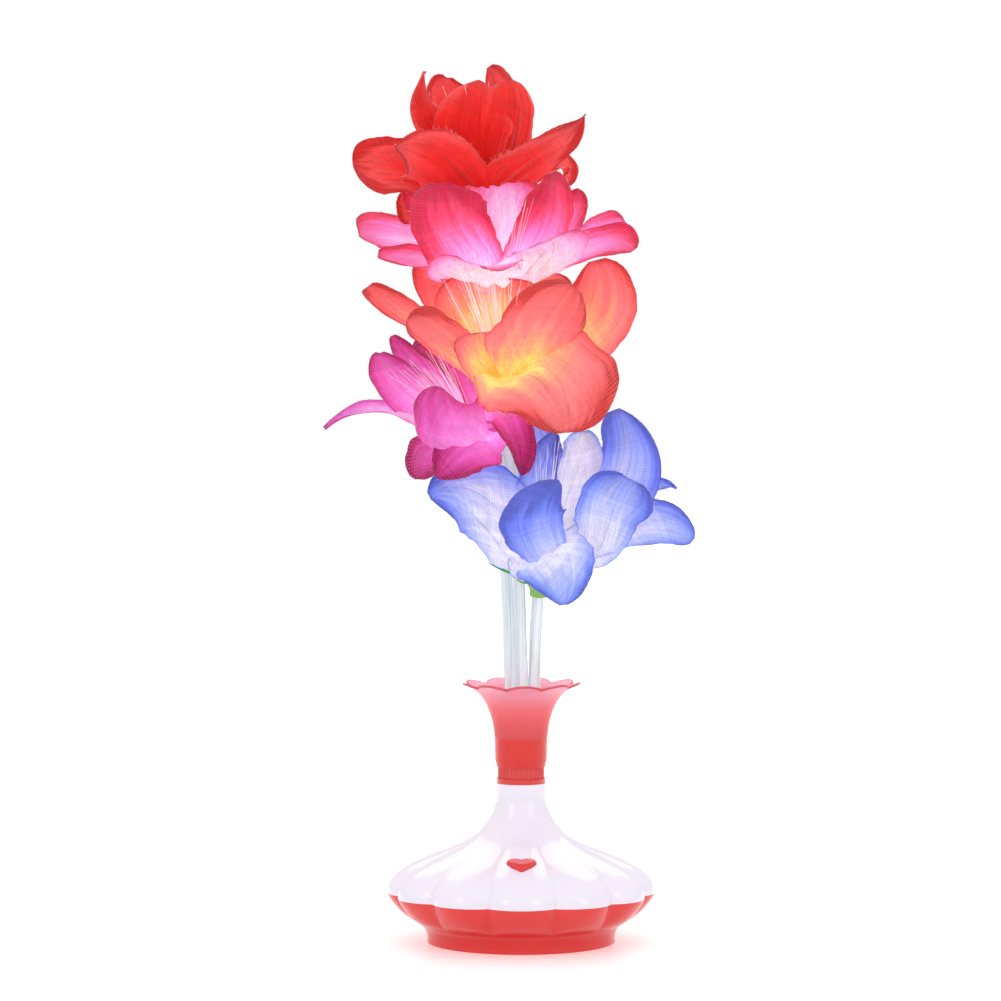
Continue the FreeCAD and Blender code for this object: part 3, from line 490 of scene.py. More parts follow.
def fibre_material(name, low, high, clear, through, glow):
    """Clear light fibres: each has its own tone, streaks along it, and a bright polished end.

    The tone runs from low to high.  A share clear of what is behind shows, and a share through of the
    light on the rest passes it.
    """
    material, tree, surface = new_material(name)
    lot, along = own_mark(tree, "lot"), own_mark(tree, "along")
    streaks = noise(tree, drawn_out(tree, lot, 90.0, along, 14.0), 1.0, 3.0)
    share = calc(tree, "MULTIPLY_ADD", calc(tree, "SUBTRACT", streaks, 0.5), 0.9, lot, clamp=True)
    colour = ramp(tree, share, [(0.0, low), (0.55, high), (1.0, WHITE)])
    colour = blend_colour(tree, between(tree, along, 0.975, 0.99), colour, WHITE)
    rough = calc(tree, "MULTIPLY_ADD", streaks, 0.25, 0.08)
    front = shader(tree, "BsdfPrincipled", Base_Color=colour, Roughness=rough, Emission_Color=colour,
                   Emission_Strength=glow)
    solid = blend_shaders(tree, through, front, shader(tree, "BsdfTranslucent", Color=colour))
    tree.links.new(blend_shaders(tree, clear, solid, shader(tree, "BsdfTransparent", Color=high)), surface)
    return material


def leaf_material(name):
    """Green leaf cloth: paler foot, a pale vein and a satin weave."""
    material, tree, surface = new_material(name)
    along, across = own_mark(tree, "along"), own_mark(tree, "across")
    place = object_place(tree)
    colour = ramp(tree, along, [(0.0, linear(0.80, 0.93, 0.55)), (0.35, linear(0.42, 0.85, 0.36)),
                                (1.0, linear(0.20, 0.70, 0.30))])
    vein = calc(tree, "SUBTRACT", 1.0, between(tree, calc(tree, "ABSOLUTE", across), 0.0, 0.14))
    colour = blend_colour(tree, calc(tree, "MULTIPLY", vein, 0.35), colour, linear(0.85, 0.95, 0.6))
    fine = noise(tree, place, 1800.0, 2.0)
    colour = blend_colour(tree, calc(tree, "MULTIPLY", fine, 0.3), colour, linear(0.12, 0.5, 0.2))
    front = shader(tree, "BsdfPrincipled", Base_Color=colour, Roughness=0.5, Normal=bump(tree, fine, 0.0002))
    behind = shader(tree, "BsdfTranslucent", Color=colour)
    tree.links.new(blend_shaders(tree, 0.35, front, behind), surface)
    return material


# ------------------------------------------------------------------ sizes shared with the CAD, in millimetres
SEAM_R, SEAM_Z, SEAM_DENT, LOBES = 52.3, 18.9, 4.1, 12
SHOULDER_R, SHOULDER_Z = 17.1, 41.9
NECK_R, NECK_FOOT_Z, NECK_TOP_Z = 9.8, 54.7, 61.7
FOOT_R, FOOT_TOP_R, FOOT_TOP_Z = 36.7, 39.6, 7.2
UPPER_FORM = [(0, 0), (0.011, 0.117), (0.145, 0.365), (0.511, 0.648), (0.838, 0.848), (1, 1)]
SHOULDER_FORM = [(0, 0), (0.397, 0.258), (0.685, 0.5), (0.877, 0.742), (1, 1)]
LOWER_FORM = [(0, 0), (0.268, 0.154), (0.512, 0.333), (0.756, 0.598), (0.937, 0.863), (1, 1)]
PLUG_Z, GRIP_TOP_Z, SPIGOT_TOP_Z = 46.0, 67.9, 79.9
SPIGOT_R, SPIGOT_PLAY, TRUMPET_FOOT_R = 8.4, 0.05, 9.45
TRUMPET_OUTSIDE = [(0.7, 3.1), (0.85, 9.7), (1.45, 16.3), (2.65, 21.0), (4.75, 25.7), (9.05, 30.3),
                   (14.55, 32.8)]
TRUMPET_INSIDE = [(1.05, 19.6), (3.75, 25.9), (8.35, 30.9), (14.25, 33.5)]
RIM_LOBES, RIM_TIP, RIM_VALLEY, RIM_TURN = 9, 13.65, 10.35, 3.5
HEART_WIDTH, HEART_DEPTH, BUTTON_Y, BUTTON_BACK_Z, BUTTON_TILT = 10.9, 9.6, -33.75, 36.0, 8.0
BUNDLE_R, BUNDLE_GAP, BUNDLE_END, COLLAR_HEIGHT, BUNDLES = 2.25, 0.12, 13.0, 5.0, 5
CORE_R = 1.75  # of the fibres in the middle of a bundle, drawn as one rod
RIM_CROSSING_Z, SQUARE_Z = 104.0, 142.0
CUP = [(3.3, -7.0), (3.7, -4.2), (5.0, -2.2), (5.4, 0.0)]  # the calyx's outside, from its neck to its rim
THREAD_PITCH = 0.90  # of the petals' cloth
UV_MM = 100.0  # millimetres of cloth to one unit of its UV map
THREADS_PER_UV = UV_MM / THREAD_PITCH


def formed(form, first, last):
    """The profile of a form whose ends are the points first and last."""
    return np.asarray(first) + np.asarray(form) * (np.asarray(last, float) - np.asarray(first, float))


# ------------------------------------------------------------------ the two shells
def lobed_radius(crest, valley, angle):
    """The radius of a ring of equal arcs at an angle from a crest, as an array.

    Each arc passes the crest and the two valleys beside it, so its middle lies at
    d = (c2 - v2) / (2 (c - v cos a)) from the axis, with a half the angle of a lobe, its own radius is
    c - d, and a ray at the angle t meets it at d cos t + sqrt(radius2 - d2 sin2 t).
    """
    half = math.pi / LOBES
    t = (angle + half) % (2 * half) - half
    d = (crest ** 2 - valley ** 2) / (2 * (crest - valley * math.cos(half)))
    own = crest - d
    return d * np.cos(t) + np.sqrt(np.maximum(own ** 2 - (d * np.sin(t)) ** 2, 0.0))


def shell_radius(profile, round_r):
    """A function that gives the outside's radius at (angle, height).

    The crest follows the profile, and the valley is less deep than at the seam in proportion to how
    far the crest stands out past round_r, so a lobe runs out where the profile reaches round_r.
    """
    def radius(angle, z):
        """The outside's radius at an angle and a height."""
        crest = np.interp(z, profile[:, 1], profile[:, 0])
        valley = crest - SEAM_DENT * np.clip((crest - round_r) / (SEAM_R - round_r), 0.0, None)
        return lobed_radius(crest, valley, angle + math.pi / 2)
    return radius


def merged_copy(node, name, body, material, sharp=35.0):
    """A merged, smooth copy of a CAD node's mesh, which stands for the node."""
    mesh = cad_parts[node].data.copy()
    mesh.name = name
    while mesh.attributes.get("custom_normal"):
        mesh.attributes.remove(mesh.attributes["custom_normal"])
    weld(mesh)
    mesh.materials.clear()
    thing = riding(name, mesh, body, material)
    mesh.set_sharp_from_angle(angle=math.radians(sharp))
    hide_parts(node)
    return thing


def draw_in_stem(thing, above=33.0, share=0.94, sink=0.5):
    """Draws the stem's top in under the cap: its outline shrinks by a share, and its height falls."""
    co = values_of(thing.data.vertices, "co", 3)
    top = co[:, 2] > above * MM
    middle = np.array([0.0, BUTTON_Y * MM])
    co[top, :2] = middle + (co[top, :2] - middle) * share
    co[top, 2] -= sink * MM
    thing.data.vertices.foreach_set("co", co.ravel())
    thing.data.update()


def polish(thing, radius, low_z, high_z, tolerance=0.12, step_up=0.15, step_round=0.004, facing=0.6):
    """Gives the outside of a shell the exact normals of its surface.

    A corner lies on the outside where its distance from the axis is the radius there, and its normal
    is square to the surface's slopes along the angle and the height, each taken over two small steps.
    """
    mesh = thing.data
    co = values_of(mesh.vertices, "co", 3) / MM
    r, angle, z = np.hypot(co[:, 0], co[:, 1]), np.arctan2(co[:, 1], co[:, 0]), co[:, 2]
    outside = (np.abs(r - radius(angle, z)) < tolerance) & (z > low_z - 1e-3) & (z < high_z + 1e-3)
    z_low, z_high = np.maximum(z - step_up, low_z), np.minimum(z + step_up, high_z)
    slope_z = (radius(angle, z_high) - radius(angle, z_low)) / np.maximum(z_high - z_low, 1e-6)
    slope_a = (radius(angle + step_round, z) - radius(angle - step_round, z)) / (2 * step_round)
    ahead = np.stack([np.cos(angle), np.sin(angle), 0 * z], -1)
    aside = np.stack([-np.sin(angle), np.cos(angle), 0 * z], -1)
    up = np.array([0.0, 0.0, 1.0])
    exact = unit(ahead - aside * (slope_a / np.maximum(r, 1e-6))[:, None] - up * slope_z[:, None])
    corner = values_of(mesh.loops, "vertex_index", kind=int)
    starts = values_of(mesh.polygons, "loop_start", kind=int)
    sizes = values_of(mesh.polygons, "loop_total", kind=int)
    flat = np.repeat(values_of(mesh.polygons, "normal", 3), sizes, axis=0)
    whole = np.repeat(np.logical_and.reduceat(outside[corner], starts), sizes)
    chosen = whole & (np.einsum("ij,ij->i", flat, exact[corner]) > facing)
    normals = values_of(mesh.corner_normals, "vector", 3)
    normals[chosen] = exact[corner][chosen]
    mesh.normals_split_custom_set(normals.tolist())


def make_shells():
    """Both halves of the base, smoothed; returns the lower half's plastic for the battery door."""
    pearl = plastic("pearl plastic", linear(0.955, 0.93, 0.98), linear(1.0, 0.97, 1.0), 0.13, 0.08, 0.2)
    coral = plastic("coral plastic", linear(0.93, 0.23, 0.22), linear(0.95, 0.36, 0.36), 0.16, 0.3, 0.15,
                    0.35)
    upper = merged_copy("upper_shell", "upper_housing", BODY_BASE, pearl)
    profile = np.concatenate([formed(UPPER_FORM, (SEAM_R, SEAM_Z), (SHOULDER_R, SHOULDER_Z)),
                              formed(SHOULDER_FORM, (SHOULDER_R, SHOULDER_Z), (NECK_R, NECK_FOOT_Z))[1:]])
    outline = np.concatenate([natural_spline(profile, 400), [[NECK_R, NECK_TOP_Z]]])
    polish(upper, shell_radius(outline, SHOULDER_R), SEAM_Z, NECK_TOP_Z)
    lower = merged_copy("lower_shell", "lower_housing", BODY_BASE, coral)
    side = natural_spline(formed(LOWER_FORM, (FOOT_TOP_R, FOOT_TOP_Z), (SEAM_R, SEAM_Z)), 300)
    polish(lower, shell_radius(side, FOOT_TOP_R), FOOT_TOP_Z, SEAM_Z)
    return coral


# ------------------------------------------------------------------ trumpet and heart
def rim_radius(angle):
    """The radius of the trimmed rim: nine equal arcs, by the same rule as the shells' lobes."""
    tip, dip, half = TRUMPET_FOOT_R + RIM_TIP, TRUMPET_FOOT_R + RIM_VALLEY, math.pi / RIM_LOBES
    t = (angle + math.pi / 2 - math.radians(RIM_TURN) + half) % (2 * half) - half
    d = (tip ** 2 - dip ** 2) / (2 * (tip - dip * math.cos(half)))
    return d * np.cos(t) + np.sqrt((tip - d) ** 2 - (d * np.sin(t)) ** 2)


def trumpet_material():
    """Clear coral plastic: deep before the spigot, paler up the bell, and dark at its cut edge."""
    material, tree, surface = new_material("trumpet plastic")
    z = add(tree, "ShaderNodeSeparateXYZ", {0: object_place(tree)}).outputs[2]
    spigot_top, bell_top = SPIGOT_TOP_Z * MM, 0.1015
    colour = ramp(tree, between(tree, z, spigot_top, bell_top),
                  [(0.0, linear(0.98, 0.44, 0.46)), (0.55, linear(1.0, 0.58, 0.61)),
                   (1.0, linear(1.0, 0.78, 0.84))])
    behind = calc(tree, "SUBTRACT", 1.0, between(tree, z, spigot_top - 0.0012, spigot_top + 0.0010))
    colour = blend_colour(tree, behind, colour, linear(0.92, 0.15, 0.11))
    rim = calc(tree, "MULTIPLY", own_mark(tree, "rim"), 0.75)
    colour = blend_colour(tree, rim, colour, linear(0.86, 0.22, 0.25))
    made = placed(tree, MOULDED, {"Colour": colour, "Pale Colour": colour, "Roughness": 0.20, "Grain": 0.3})
    front = shader(tree, "BsdfPrincipled", Base_Color=made["Colour"], Roughness=made["Roughness"],
                   Normal=made["Normal"], Coat_Weight=0.2, Coat_Roughness=0.05)
    through = shader(tree, "BsdfTranslucent", Color=made["Colour"], Normal=made["Normal"])
    share = calc(tree, "MULTIPLY_ADD", behind, -0.35, 0.50)
    tree.links.new(blend_shaders(tree, share, front, through), surface)
    return material


def make_trumpet():
    """A bell whose wall runs up inside and down outside, each column trimmed to the rim's radius.

    The rim falls between its tips, by a cosine of the angle that grows with the distance from the axis.
    """
    angle = np.linspace(0, 2 * math.pi, RIM_LOBES * 24, endpoint=False)
    trim = rim_radius(angle)
    foot = np.array([TRUMPET_FOOT_R, GRIP_TOP_Z])
    outer = natural_spline(foot + np.array(TRUMPET_OUTSIDE), 240)
    outer = np.concatenate([np.linspace(foot, outer[0], 8, endpoint=False), outer])
    bore_r = SPIGOT_R + SPIGOT_PLAY
    bore = [(bore_r - TRUMPET_FOOT_R, SPIGOT_TOP_Z - GRIP_TOP_Z)]
    inner = natural_spline(foot + np.array(bore + TRUMPET_INSIDE), 200)
    inner = np.concatenate([[(bore_r, GRIP_TOP_Z)], inner])

    def cut(line, rows):
        """The line's rows for each column, shared out up to where its radius meets the trim."""
        run = np.concatenate([[0.0], np.cumsum(np.linalg.norm(np.diff(line, axis=0), axis=1))])
        end = np.interp(trim, np.maximum.accumulate(line[:, 0]) + 1e-9 * np.arange(len(line)), run)
        at = np.linspace(0, 1, rows)[:, None] ** 0.85 * end
        return np.stack([np.interp(at, run, line[:, 0]), np.interp(at, run, line[:, 1])], -1), end - at

    (up, left_up), (down, left_down) = cut(outer, 64), cut(inner, 54)
    wall = np.concatenate([up, down[::-1], up[:1]])
    to_edge = np.concatenate([left_up, left_down[::-1], left_up[:1]])
    wave = 0.5 * (1 - np.cos(RIM_LOBES * (angle + math.pi / 2 - math.radians(RIM_TURN))))
    z = wall[..., 1] - 0.35 * smooth((wall[..., 0] - 15.0) / 8.0) * wave
    points = np.stack([wall[..., 0] * np.cos(angle), wall[..., 0] * np.sin(angle), z], -1)
    made = piece("trumpet_bell", points.reshape(-1, 3), grid_faces(len(points), len(angle), closed=True),
                 BODY_BOUQUET, trumpet_material(), "trumpet_plastic",
                 marks={"rim": 1 - smooth(to_edge / 0.9)})
    weld(made.data)
    made.data.set_sharp_from_angle(angle=math.radians(50))
    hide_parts("trumpet")


def arc(a, b, c, count):
    """Points on the circle from a past b to c, without c."""
    a, b, c = (np.asarray(p, float) for p in (a, b, c))
    rows = 2 * np.array([b - a, c - a])
    centre = np.linalg.solve(rows, [b @ b - a @ a, c @ c - a @ a])
    angles = np.unwrap([math.atan2(*(p - centre)[::-1]) for p in (a, b, c)])
    if abs(angles[2] - angles[0]) < abs(angles[1] - angles[0]):
        angles[2] += math.copysign(2 * math.pi, angles[1] - angles[0])
    t = np.linspace(angles[0], angles[2], count, endpoint=False)
    return centre + np.hypot(*(a - centre)) * np.stack([np.cos(t), np.sin(t)], -1)


def heart_outline(offset, count=14):
    """The heart's outline round its middle, counterclockwise from the dip at its back."""
    half = HEART_WIDTH / 2 + offset
    tip, dip = (0, -0.54 * HEART_DEPTH - 1.3 * offset), (0, 0.27 * HEART_DEPTH + offset)
    crest, side = 0.46 * HEART_DEPTH + offset, 0.12 * HEART_DEPTH
    left = [arc(dip, (-half * 0.53, crest), (-half, side), count),
            arc((-half, side), (-half * 0.62, tip[1] * 0.42), tip, count)]
    right = [arc(tip, (half * 0.62, tip[1] * 0.42), (half, side), count),
             arc((half, side), (half * 0.53, crest), dip, count)]
    return np.concatenate(left + right)


HEART_RINGS = [(0.0, -8.0), (0.0, -3.0), (0.0, -1.0), (0.0, -0.55), (0.08, -0.3), (0.25, -0.12),
               (0.55, 0.0)]  # (inset, rise) of the walls' and the bevel's rings


def make_heart():
    """A heart whose outline shrinks ring by ring to its middle: walls, a round bevel and a creased top.

    The top falls to the front by the button's tilt, and dips along its middle line.  Returns its plastic.
    """
    red = plastic("button plastic", linear(0.90, 0.11, 0.12), linear(0.95, 0.30, 0.30), 0.18, 0.3, 0.2, 0.4)
    middle = np.array([0.0, 0.02 * HEART_DEPTH])
    layers = []

    def lay(ring, rise):
        """Adds a ring of points that follows the tilted top at a height above it."""
        top = BUTTON_BACK_Z - (0.46 * HEART_DEPTH - ring[:, 1]) * math.tan(math.radians(BUTTON_TILT))
        layers.append(np.concatenate([ring, (top + rise)[:, None]], 1))

    for inset, rise in HEART_RINGS:
        lay(heart_outline(-inset), rise)
    bevel = layers[-1][:, :2]
    for share in (0.25, 0.5, 0.75, 0.97):
        ring = bevel + (middle - bevel) * share
        lay(ring, 0.12 * share - 0.35 * share * np.exp(-ring[:, 0] ** 2))
    points = np.concatenate(layers)
    points[:, 1] += BUTTON_Y
    count = len(bevel)
    last = (len(layers) - 1) * count
    around, after = np.arange(count), (np.arange(count) + 1) % count
    ends = np.concatenate([np.stack([last + around, last + after, np.full(count, len(points))], -1),
                           np.stack([after, around, np.full(count, len(points) + 1)], -1)])
    hubs = [points[last:].mean(axis=0), [0.0, BUTTON_Y, points[:count, 2].mean()]]
    faces = [grid_faces(len(layers), count, closed=True), ends]
    made = piece("heart_cap", np.concatenate([points, hubs]), faces, BODY_BUTTON, red, "button_red")
    made.data.set_sharp_from_angle(angle=math.radians(42))
    return red


# ------------------------------------------------------------------ flowers
# A petal's route names the pixels of three points along it and their depths in millimetres.  It is as
# wide as width, in millimetres, and faces the way that face says, or face_tip at its tip.  cup is half
# the angle that its section turns, in radians, at its foot and its tip, ruffle the height of the waves
# along its edges, in millimetres, and waves their number.  foot is its width at the foot, as a share.
# sides gives its left or upper half, then its right or lower one: (where it is widest, how blunt it
# ends, share of the width).  curl is how far, in radians, those two edges roll over, fold how sharply
# its middle is creased, and dye how far its colour is shifted along the colour stops from its neighbours'.
def petal(route, width, face=None, cup=(0.8, 0.2), ruffle=0.9, waves=1.2, foot=0.3, widest=0.6, blunt=0.5,
          sides=None, curl=(0.0, 0.0), fold=0.0, dye=0.0, face_tip=None):
    """One petal's row in the flowers' table, whose two halves are alike unless sides is given."""
    return dict(route=route, width=width, face=face, face_tip=face_tip, cup=cup, ruffle=ruffle, waves=waves,
                foot=foot, sides=sides or ((widest, blunt, 1.0), (widest, blunt, 1.0)), curl=curl, fold=fold,
                dye=dye)


# hub is the flower's throat and axis the way it opens.  nearer moves its petals away from the camera by
# so many millimetres.  foot is its bundle's place in the ring of bundles, side the way that the bundle
# leans, and stem the bundle's route further up.
FLOWERS = {
    "red": dict(
        hub=(-13, 16, 286), axis=(0.0, -0.1, 1), nearer=16, foot=3, side=(-1, 1),
        stem=[(-8, 9, 180), (-10.5, 15.5, 212), (-12.5, 19, 250)],
        outer={
            "left_wing": petal([(452, 184, 6), (402, 168, 2), (352, 162, -4)], 26, (0, -0.9, 0.5),
                (0.8, 0.1), foot=0.5, sides=((0.66, 0.45, 1.0), (0.80, 0.36, 1.1)), curl=(0.5, 0.0),
                dye=0.10),
            "front_left": petal([(466, 182, -14), (436, 153, -25), (394, 147, -29)], 29, (0.1, 0.8, 0.5),
                (0.8, 0.3), 1.2, foot=0.6, sides=((0.52, 0.62, 1.35), (0.40, 0.85, 0.75)), curl=(0.3, 0.9),
                waves=1.4, fold=-0.15),
            "front_right": petal([(506, 178, -16), (545, 150, -25), (585, 113, -28)], 25, (-0.2, 0.7, 0.6),
                (0.8, 0.2), 1.8, waves=1.7, foot=0.8, sides=((0.20, 0.95, 0.72), (0.36, 0.8, 1.1)),
                curl=(0.5, -0.9), fold=0.2, dye=0.10),
            "right_low": petal([(525, 180, 10), (553, 162, 18), (568, 187, 24)], 18, (0.2, -0.6, 0.8),
                (0.6, 0.2), curl=(0.4, 0.6)),
            "left_low": petal([(455, 194, 2), (422, 195, 0), (409, 225, -2)], 16, (-0.3, -0.7, 0.6),
                (0.6, 0.2), curl=(0.4, -0.5)),
            "back_left": petal([(480, 180, 20), (470, 165, 34), (462, 160, 42)], 34, cup=(0.8, 0.3),
                curl=(-0.5, 0.5)),
            "back_right": petal([(510, 182, 16), (530, 160, 28), (545, 150, 34)], 30, cup=(0.8, 0.3),
                curl=(0.5, 0.7)),
        },
        inner={
            "twisted": petal([(452, 160, -4), (421, 125, -6), (424, 70, -6)], 25, (0.5, -0.6, 0.2),
                (0.9, 0.6), 2.0, 2, sides=((0.50, 0.9, 1.0), (0.35, 0.9, 1.1)), curl=(0.4, -0.5), fold=0.3,
                dye=-0.2),
            "front": petal([(474, 170, -8), (472, 125, -13), (480, 80, -8)], 38, (0.1, 0.9, 0.2),
                (0.8, 0.5), 1.6, sides=((0.48, 0.50, 1.0), (0.62, 0.42, 1.0)), curl=(0.3, 0.9), dye=-0.22),
            "right": petal([(505, 170, -4), (514, 125, -6), (508, 80, -5)], 38, (-0.6, 0.6, 0.2),
                (0.9, 0.6), 1.2, sides=((0.72, 0.34, 0.95), (0.76, 0.34, 1.1)), curl=(0.6, 0.3), dye=-0.3),
            "back_left": petal([(472, 165, 10), (452, 115, 12), (448, 77, 14)], 22, (0.1, -0.9, 0.2),
                (0.7, 0.3), curl=(0.5, 0.0)),
            "back": petal([(492, 165, 8), (500, 115, 12), (487, 67, 13)], 17, (0, -0.9, 0.2), (0.7, 0.3),
                2.0, 2, sides=((0.55, 0.7, 1.0), (0.72, 0.4, 1.0)), curl=(0.6, -0.9)),
        }),
    "pink": dict(
        hub=(-6, 8, 250), axis=(0.0, -0.15, 1), nearer=3, foot=4, side=(1, 1),
        stem=[(-3, 6, 180), (-5.5, 11, 212)],
        outer={
            "left_high": petal([(465, 264, 8), (410, 241, 8), (358, 234, 4)], 25, (0.1, -0.7, 0.7),
                (0.8, 0.1), widest=0.75, sides=((0.80, 0.42, 1.0), (0.70, 0.50, 1.0)), curl=(-0.5, 0.3),
                dye=-0.22),
            "left_low": petal([(465, 274, 0), (425, 263, -6), (377, 255, -10)], 18, (0.1, -0.6, 0.8),
                (0.8, 0.1), widest=0.7, curl=(0.3, 0.5), dye=-0.18),
            "front_left": petal([(488, 284, -12), (474, 272, -24), (472, 264, -36)], 38, (0.1, 0.6, 0.8),
                (0.9, 0.2), 2.2, foot=0.45, sides=((0.74, 0.34, 1.0), (0.66, 0.45, 1.0)), curl=(-0.5, -0.4),
                dye=-0.55),
            "front_right": petal([(524, 280, -10), (544, 260, -20), (548, 240, -26)], 38, (-0.3, 0.6, 0.8),
                (0.9, 0.2), 2.4, foot=0.45, sides=((0.70, 0.45, 1.0), (0.62, 0.40, 1.1)), curl=(-0.6, 0.4),
                dye=-0.55),
            "right_high": petal([(545, 265, 10), (590, 240, 12), (626, 222, 12)], 20, (-0.2, -0.7, 0.7),
                (0.8, 0.2), widest=0.7, sides=((0.82, 0.36, 0.9), (0.70, 0.5, 1.0)), curl=(0.0, 0.7),
                dye=-0.26),
            "right_low": petal([(545, 272, 2), (592, 248, -2), (633, 252, -6)], 20, (-0.1, -0.6, 0.8),
                (0.8, 0.2), widest=0.7, sides=((0.82, 0.34, 1.0), (0.66, 0.5, 1.0)), curl=(0.6, 0.0),
                dye=-0.15),
            "back_left": petal([(498, 275, 22), (490, 250, 38), (482, 240, 48)], 32),
            "back_right": petal([(520, 275, 20), (545, 250, 32), (565, 240, 40)], 30),
        },
        inner={
            "left": petal([(478, 268, -4), (450, 232, -6), (438, 182, -8)], 37, (0.4, -0.9, 0.1),
                (0.9, 0.4), 1.2, sides=((0.66, 0.40, 1.0), (0.74, 0.38, 1.0)), curl=(0.3, 0.9), fold=-0.2,
                dye=0.11),
            "right": petal([(528, 266, 0), (550, 225, -2), (552, 172, -2)], 31, (-0.5, -0.8, 0.1),
                (0.9, 0.4), 1.8, sides=((0.56, 0.60, 1.0), (0.72, 0.40, 1.0)), curl=(0.9, 0.4), fold=0.2,
                dye=0.06),
            "back": petal([(506, 262, 8), (503, 215, 3), (503, 178, 2)], 38, (0, -1, 0.1), (0.25, 0.0),
                foot=0.5, sides=((0.8, 0.36, 1.0), (0.8, 0.36, 1.0)), dye=-0.27),
            "back_left": petal([(478, 260, 14), (430, 215, 16), (418, 174, 14)], 20, (0.4, -0.9, 0.1),
                (0.8, 0.3), curl=(0.6, 0.0)),
            "back_right": petal([(532, 262, 14), (565, 225, 20), (577, 188, 20)], 18, (-0.4, -0.9, 0.1),
                (0.8, 0.3), curl=(0.0, 0.6)),
        }),
    "orange": dict(
        hub=(-6, -5, 212), axis=(0.12, -0.35, 0.93), nearer=0, foot=1, side=(1, -1),
        stem=[(-2.6, -2.6, 178)],
        outer={
            "left_tip": petal([(462, 358, 2), (408, 318, 0), (368, 286, 0)], 15, (0.5, -0.7, 0.5),
                (0.9, 0.2), sides=((0.74, 0.5, 1.0), (0.84, 0.38, 1.0)), curl=(0.4, 0.0)),
            "left_low": petal([(484, 378, -16), (446, 346, -25), (406, 320, -29)], 25, (0.4, 0.6, 0.6),
                (0.8, 0.3), 1.2, sides=((0.70, 0.42, 1.1), (0.80, 0.36, 0.9)), curl=(0.2, 0.7), dye=-0.02),
            "front": petal([(500, 374, -20), (494, 352, -25), (490, 331, -27)], 26, (0.1, -0.9, 0.3),
                (0.5, 0.1), 0.6, foot=0.5, sides=((0.84, 0.24, 1.15), (0.84, 0.24, 0.9)), curl=(0.1, -0.1),
                dye=-0.34),
            "front_right": petal([(528, 368, -24), (542, 335, -36), (574, 284, -34)], 38,
                (-0.25, 0.85, 0.3), (0.8, 0.5), 1.2, sides=((0.50, 0.55, 1.05), (0.86, 0.28, 1.15)),
                curl=(0.3, 1.0), dye=0.00),
            "falling": petal([(524, 372, -26), (550, 382, -38), (566, 434, -41)], 50, (0.1, -0.7, 0.7),
                (0.7, -0.3), 2.2, foot=0.5, sides=((0.60, 0.50, 1.0), (0.66, 0.40, 1.0)), curl=(-0.5, -0.3),
                fold=0.12, dye=-0.02, face_tip=(0.1, -0.95, 0.2)),
            "back_left": petal([(500, 370, 18), (492, 345, 36), (488, 335, 46)], 34),
            "back_right": petal([(520, 365, 14), (545, 340, 32), (565, 330, 42)], 30),
        },
        inner={
            "right": petal([(536, 352, -8), (582, 326, -2), (594, 259, 4)], 33, (-0.4, -0.9, 0.3),
                (0.7, 0.1), 1.4, foot=0.5, sides=((0.66, 0.46, 0.9), (0.62, 0.40, 1.1)), curl=(0.3, -0.3),
                dye=-0.20),
            "back": petal([(494, 352, 4), (484, 310, -3), (480, 278, -7)], 44, (0.1, -0.9, 0.3), (0.8, 0.4),
                1.4, 2, sides=((0.75, 0.42, 1.0), (0.82, 0.34, 1.0)), curl=(0.4, 0.7), dye=-0.24),
            "left": petal([(480, 355, 4), (445, 308, 6), (422, 262, 8)], 23, (0.4, -0.8, 0.3), (0.9, 0.4),
                1.4, 2, sides=((0.78, 0.42, 1.0), (0.84, 0.35, 1.0)), curl=(0.9, 0.3)),
            "back_right": petal([(516, 352, 4), (538, 305, -1), (552, 272, -5)], 34, (-0.2, -0.9, 0.4),
                (0.6, 0.3), 1.2, 2, sides=((0.78, 0.40, 1.0), (0.70, 0.45, 1.0)), curl=(0.3, 0.4),
                dye=-0.12),
        }),
    "magenta": dict(
        hub=(-15, -5, 193), axis=(-0.45, -0.25, 0.86), nearer=0, foot=2, side=(-1, -1),
        stem=[(-8.2, -2.9, 170)],
        outer={
            "left_tip": petal([(440, 432, -6), (385, 410, -10), (324, 430, -14)], 12, (-0.1, -0.6, 0.8),
                (0.7, 0.1), sides=((0.45, 0.9, 1.1), (0.55, 0.8, 0.9)), curl=(0.0, 0.5), dye=-0.45),
            "low_left": petal([(460, 452, -8), (434, 455, -14), (420, 480, -16)], 20, (-0.3, -0.8, 0.3),
                (0.6, 0.1), curl=(0.5, 0.0)),
            "low": petal([(486, 436, -14), (466, 446, -21), (436, 478, -25)], 27, (0.2, -0.9, 0.3),
                (0.6, 0.2), 1.5, foot=0.4, sides=((0.50, 0.70, 1.0), (0.60, 0.60, 1.0)), curl=(0.2, 0.5)),
            "low_right": petal([(494, 414, -12), (512, 428, -17), (521, 476, -18)], 19, (0.3, -0.9, 0.2),
                (0.5, 0.2), 1.2, foot=0.4, sides=((0.50, 0.7, 0.9), (0.62, 0.6, 1.0)), curl=(0.0, 0.5),
                fold=0.3, dye=0.1),
            "back_left": petal([(468, 430, 14), (450, 410, 26), (435, 395, 34)], 28, cup=(0.8, 0.3)),
            "back_right": petal([(485, 425, 10), (488, 395, 20), (480, 375, 26)], 24, cup=(0.8, 0.3)),
        },
        inner={
            "left": petal([(455, 412, 6), (420, 377, 8), (392, 335, 10)], 18, (0.4, -0.9, 0.1), (0.8, 0.3),
                sides=((0.62, 0.6, 1.0), (0.50, 0.7, 1.0)), curl=(0.5, 0.0), fold=0.3, dye=-0.14),
            "far_left": petal([(450, 424, -2), (408, 394, -4), (379, 352, -2)], 21, (0.6, -0.8, 0),
                (0.7, 0.1), 1.2, sides=((0.64, 0.5, 1.0), (0.72, 0.42, 1.0)), curl=(0.3, 0.2), dye=-0.29),
            "cup": petal([(474, 446, -18), (450, 430, -31), (440, 386, -31)], 38, (-0.2, 0.8, 0.5),
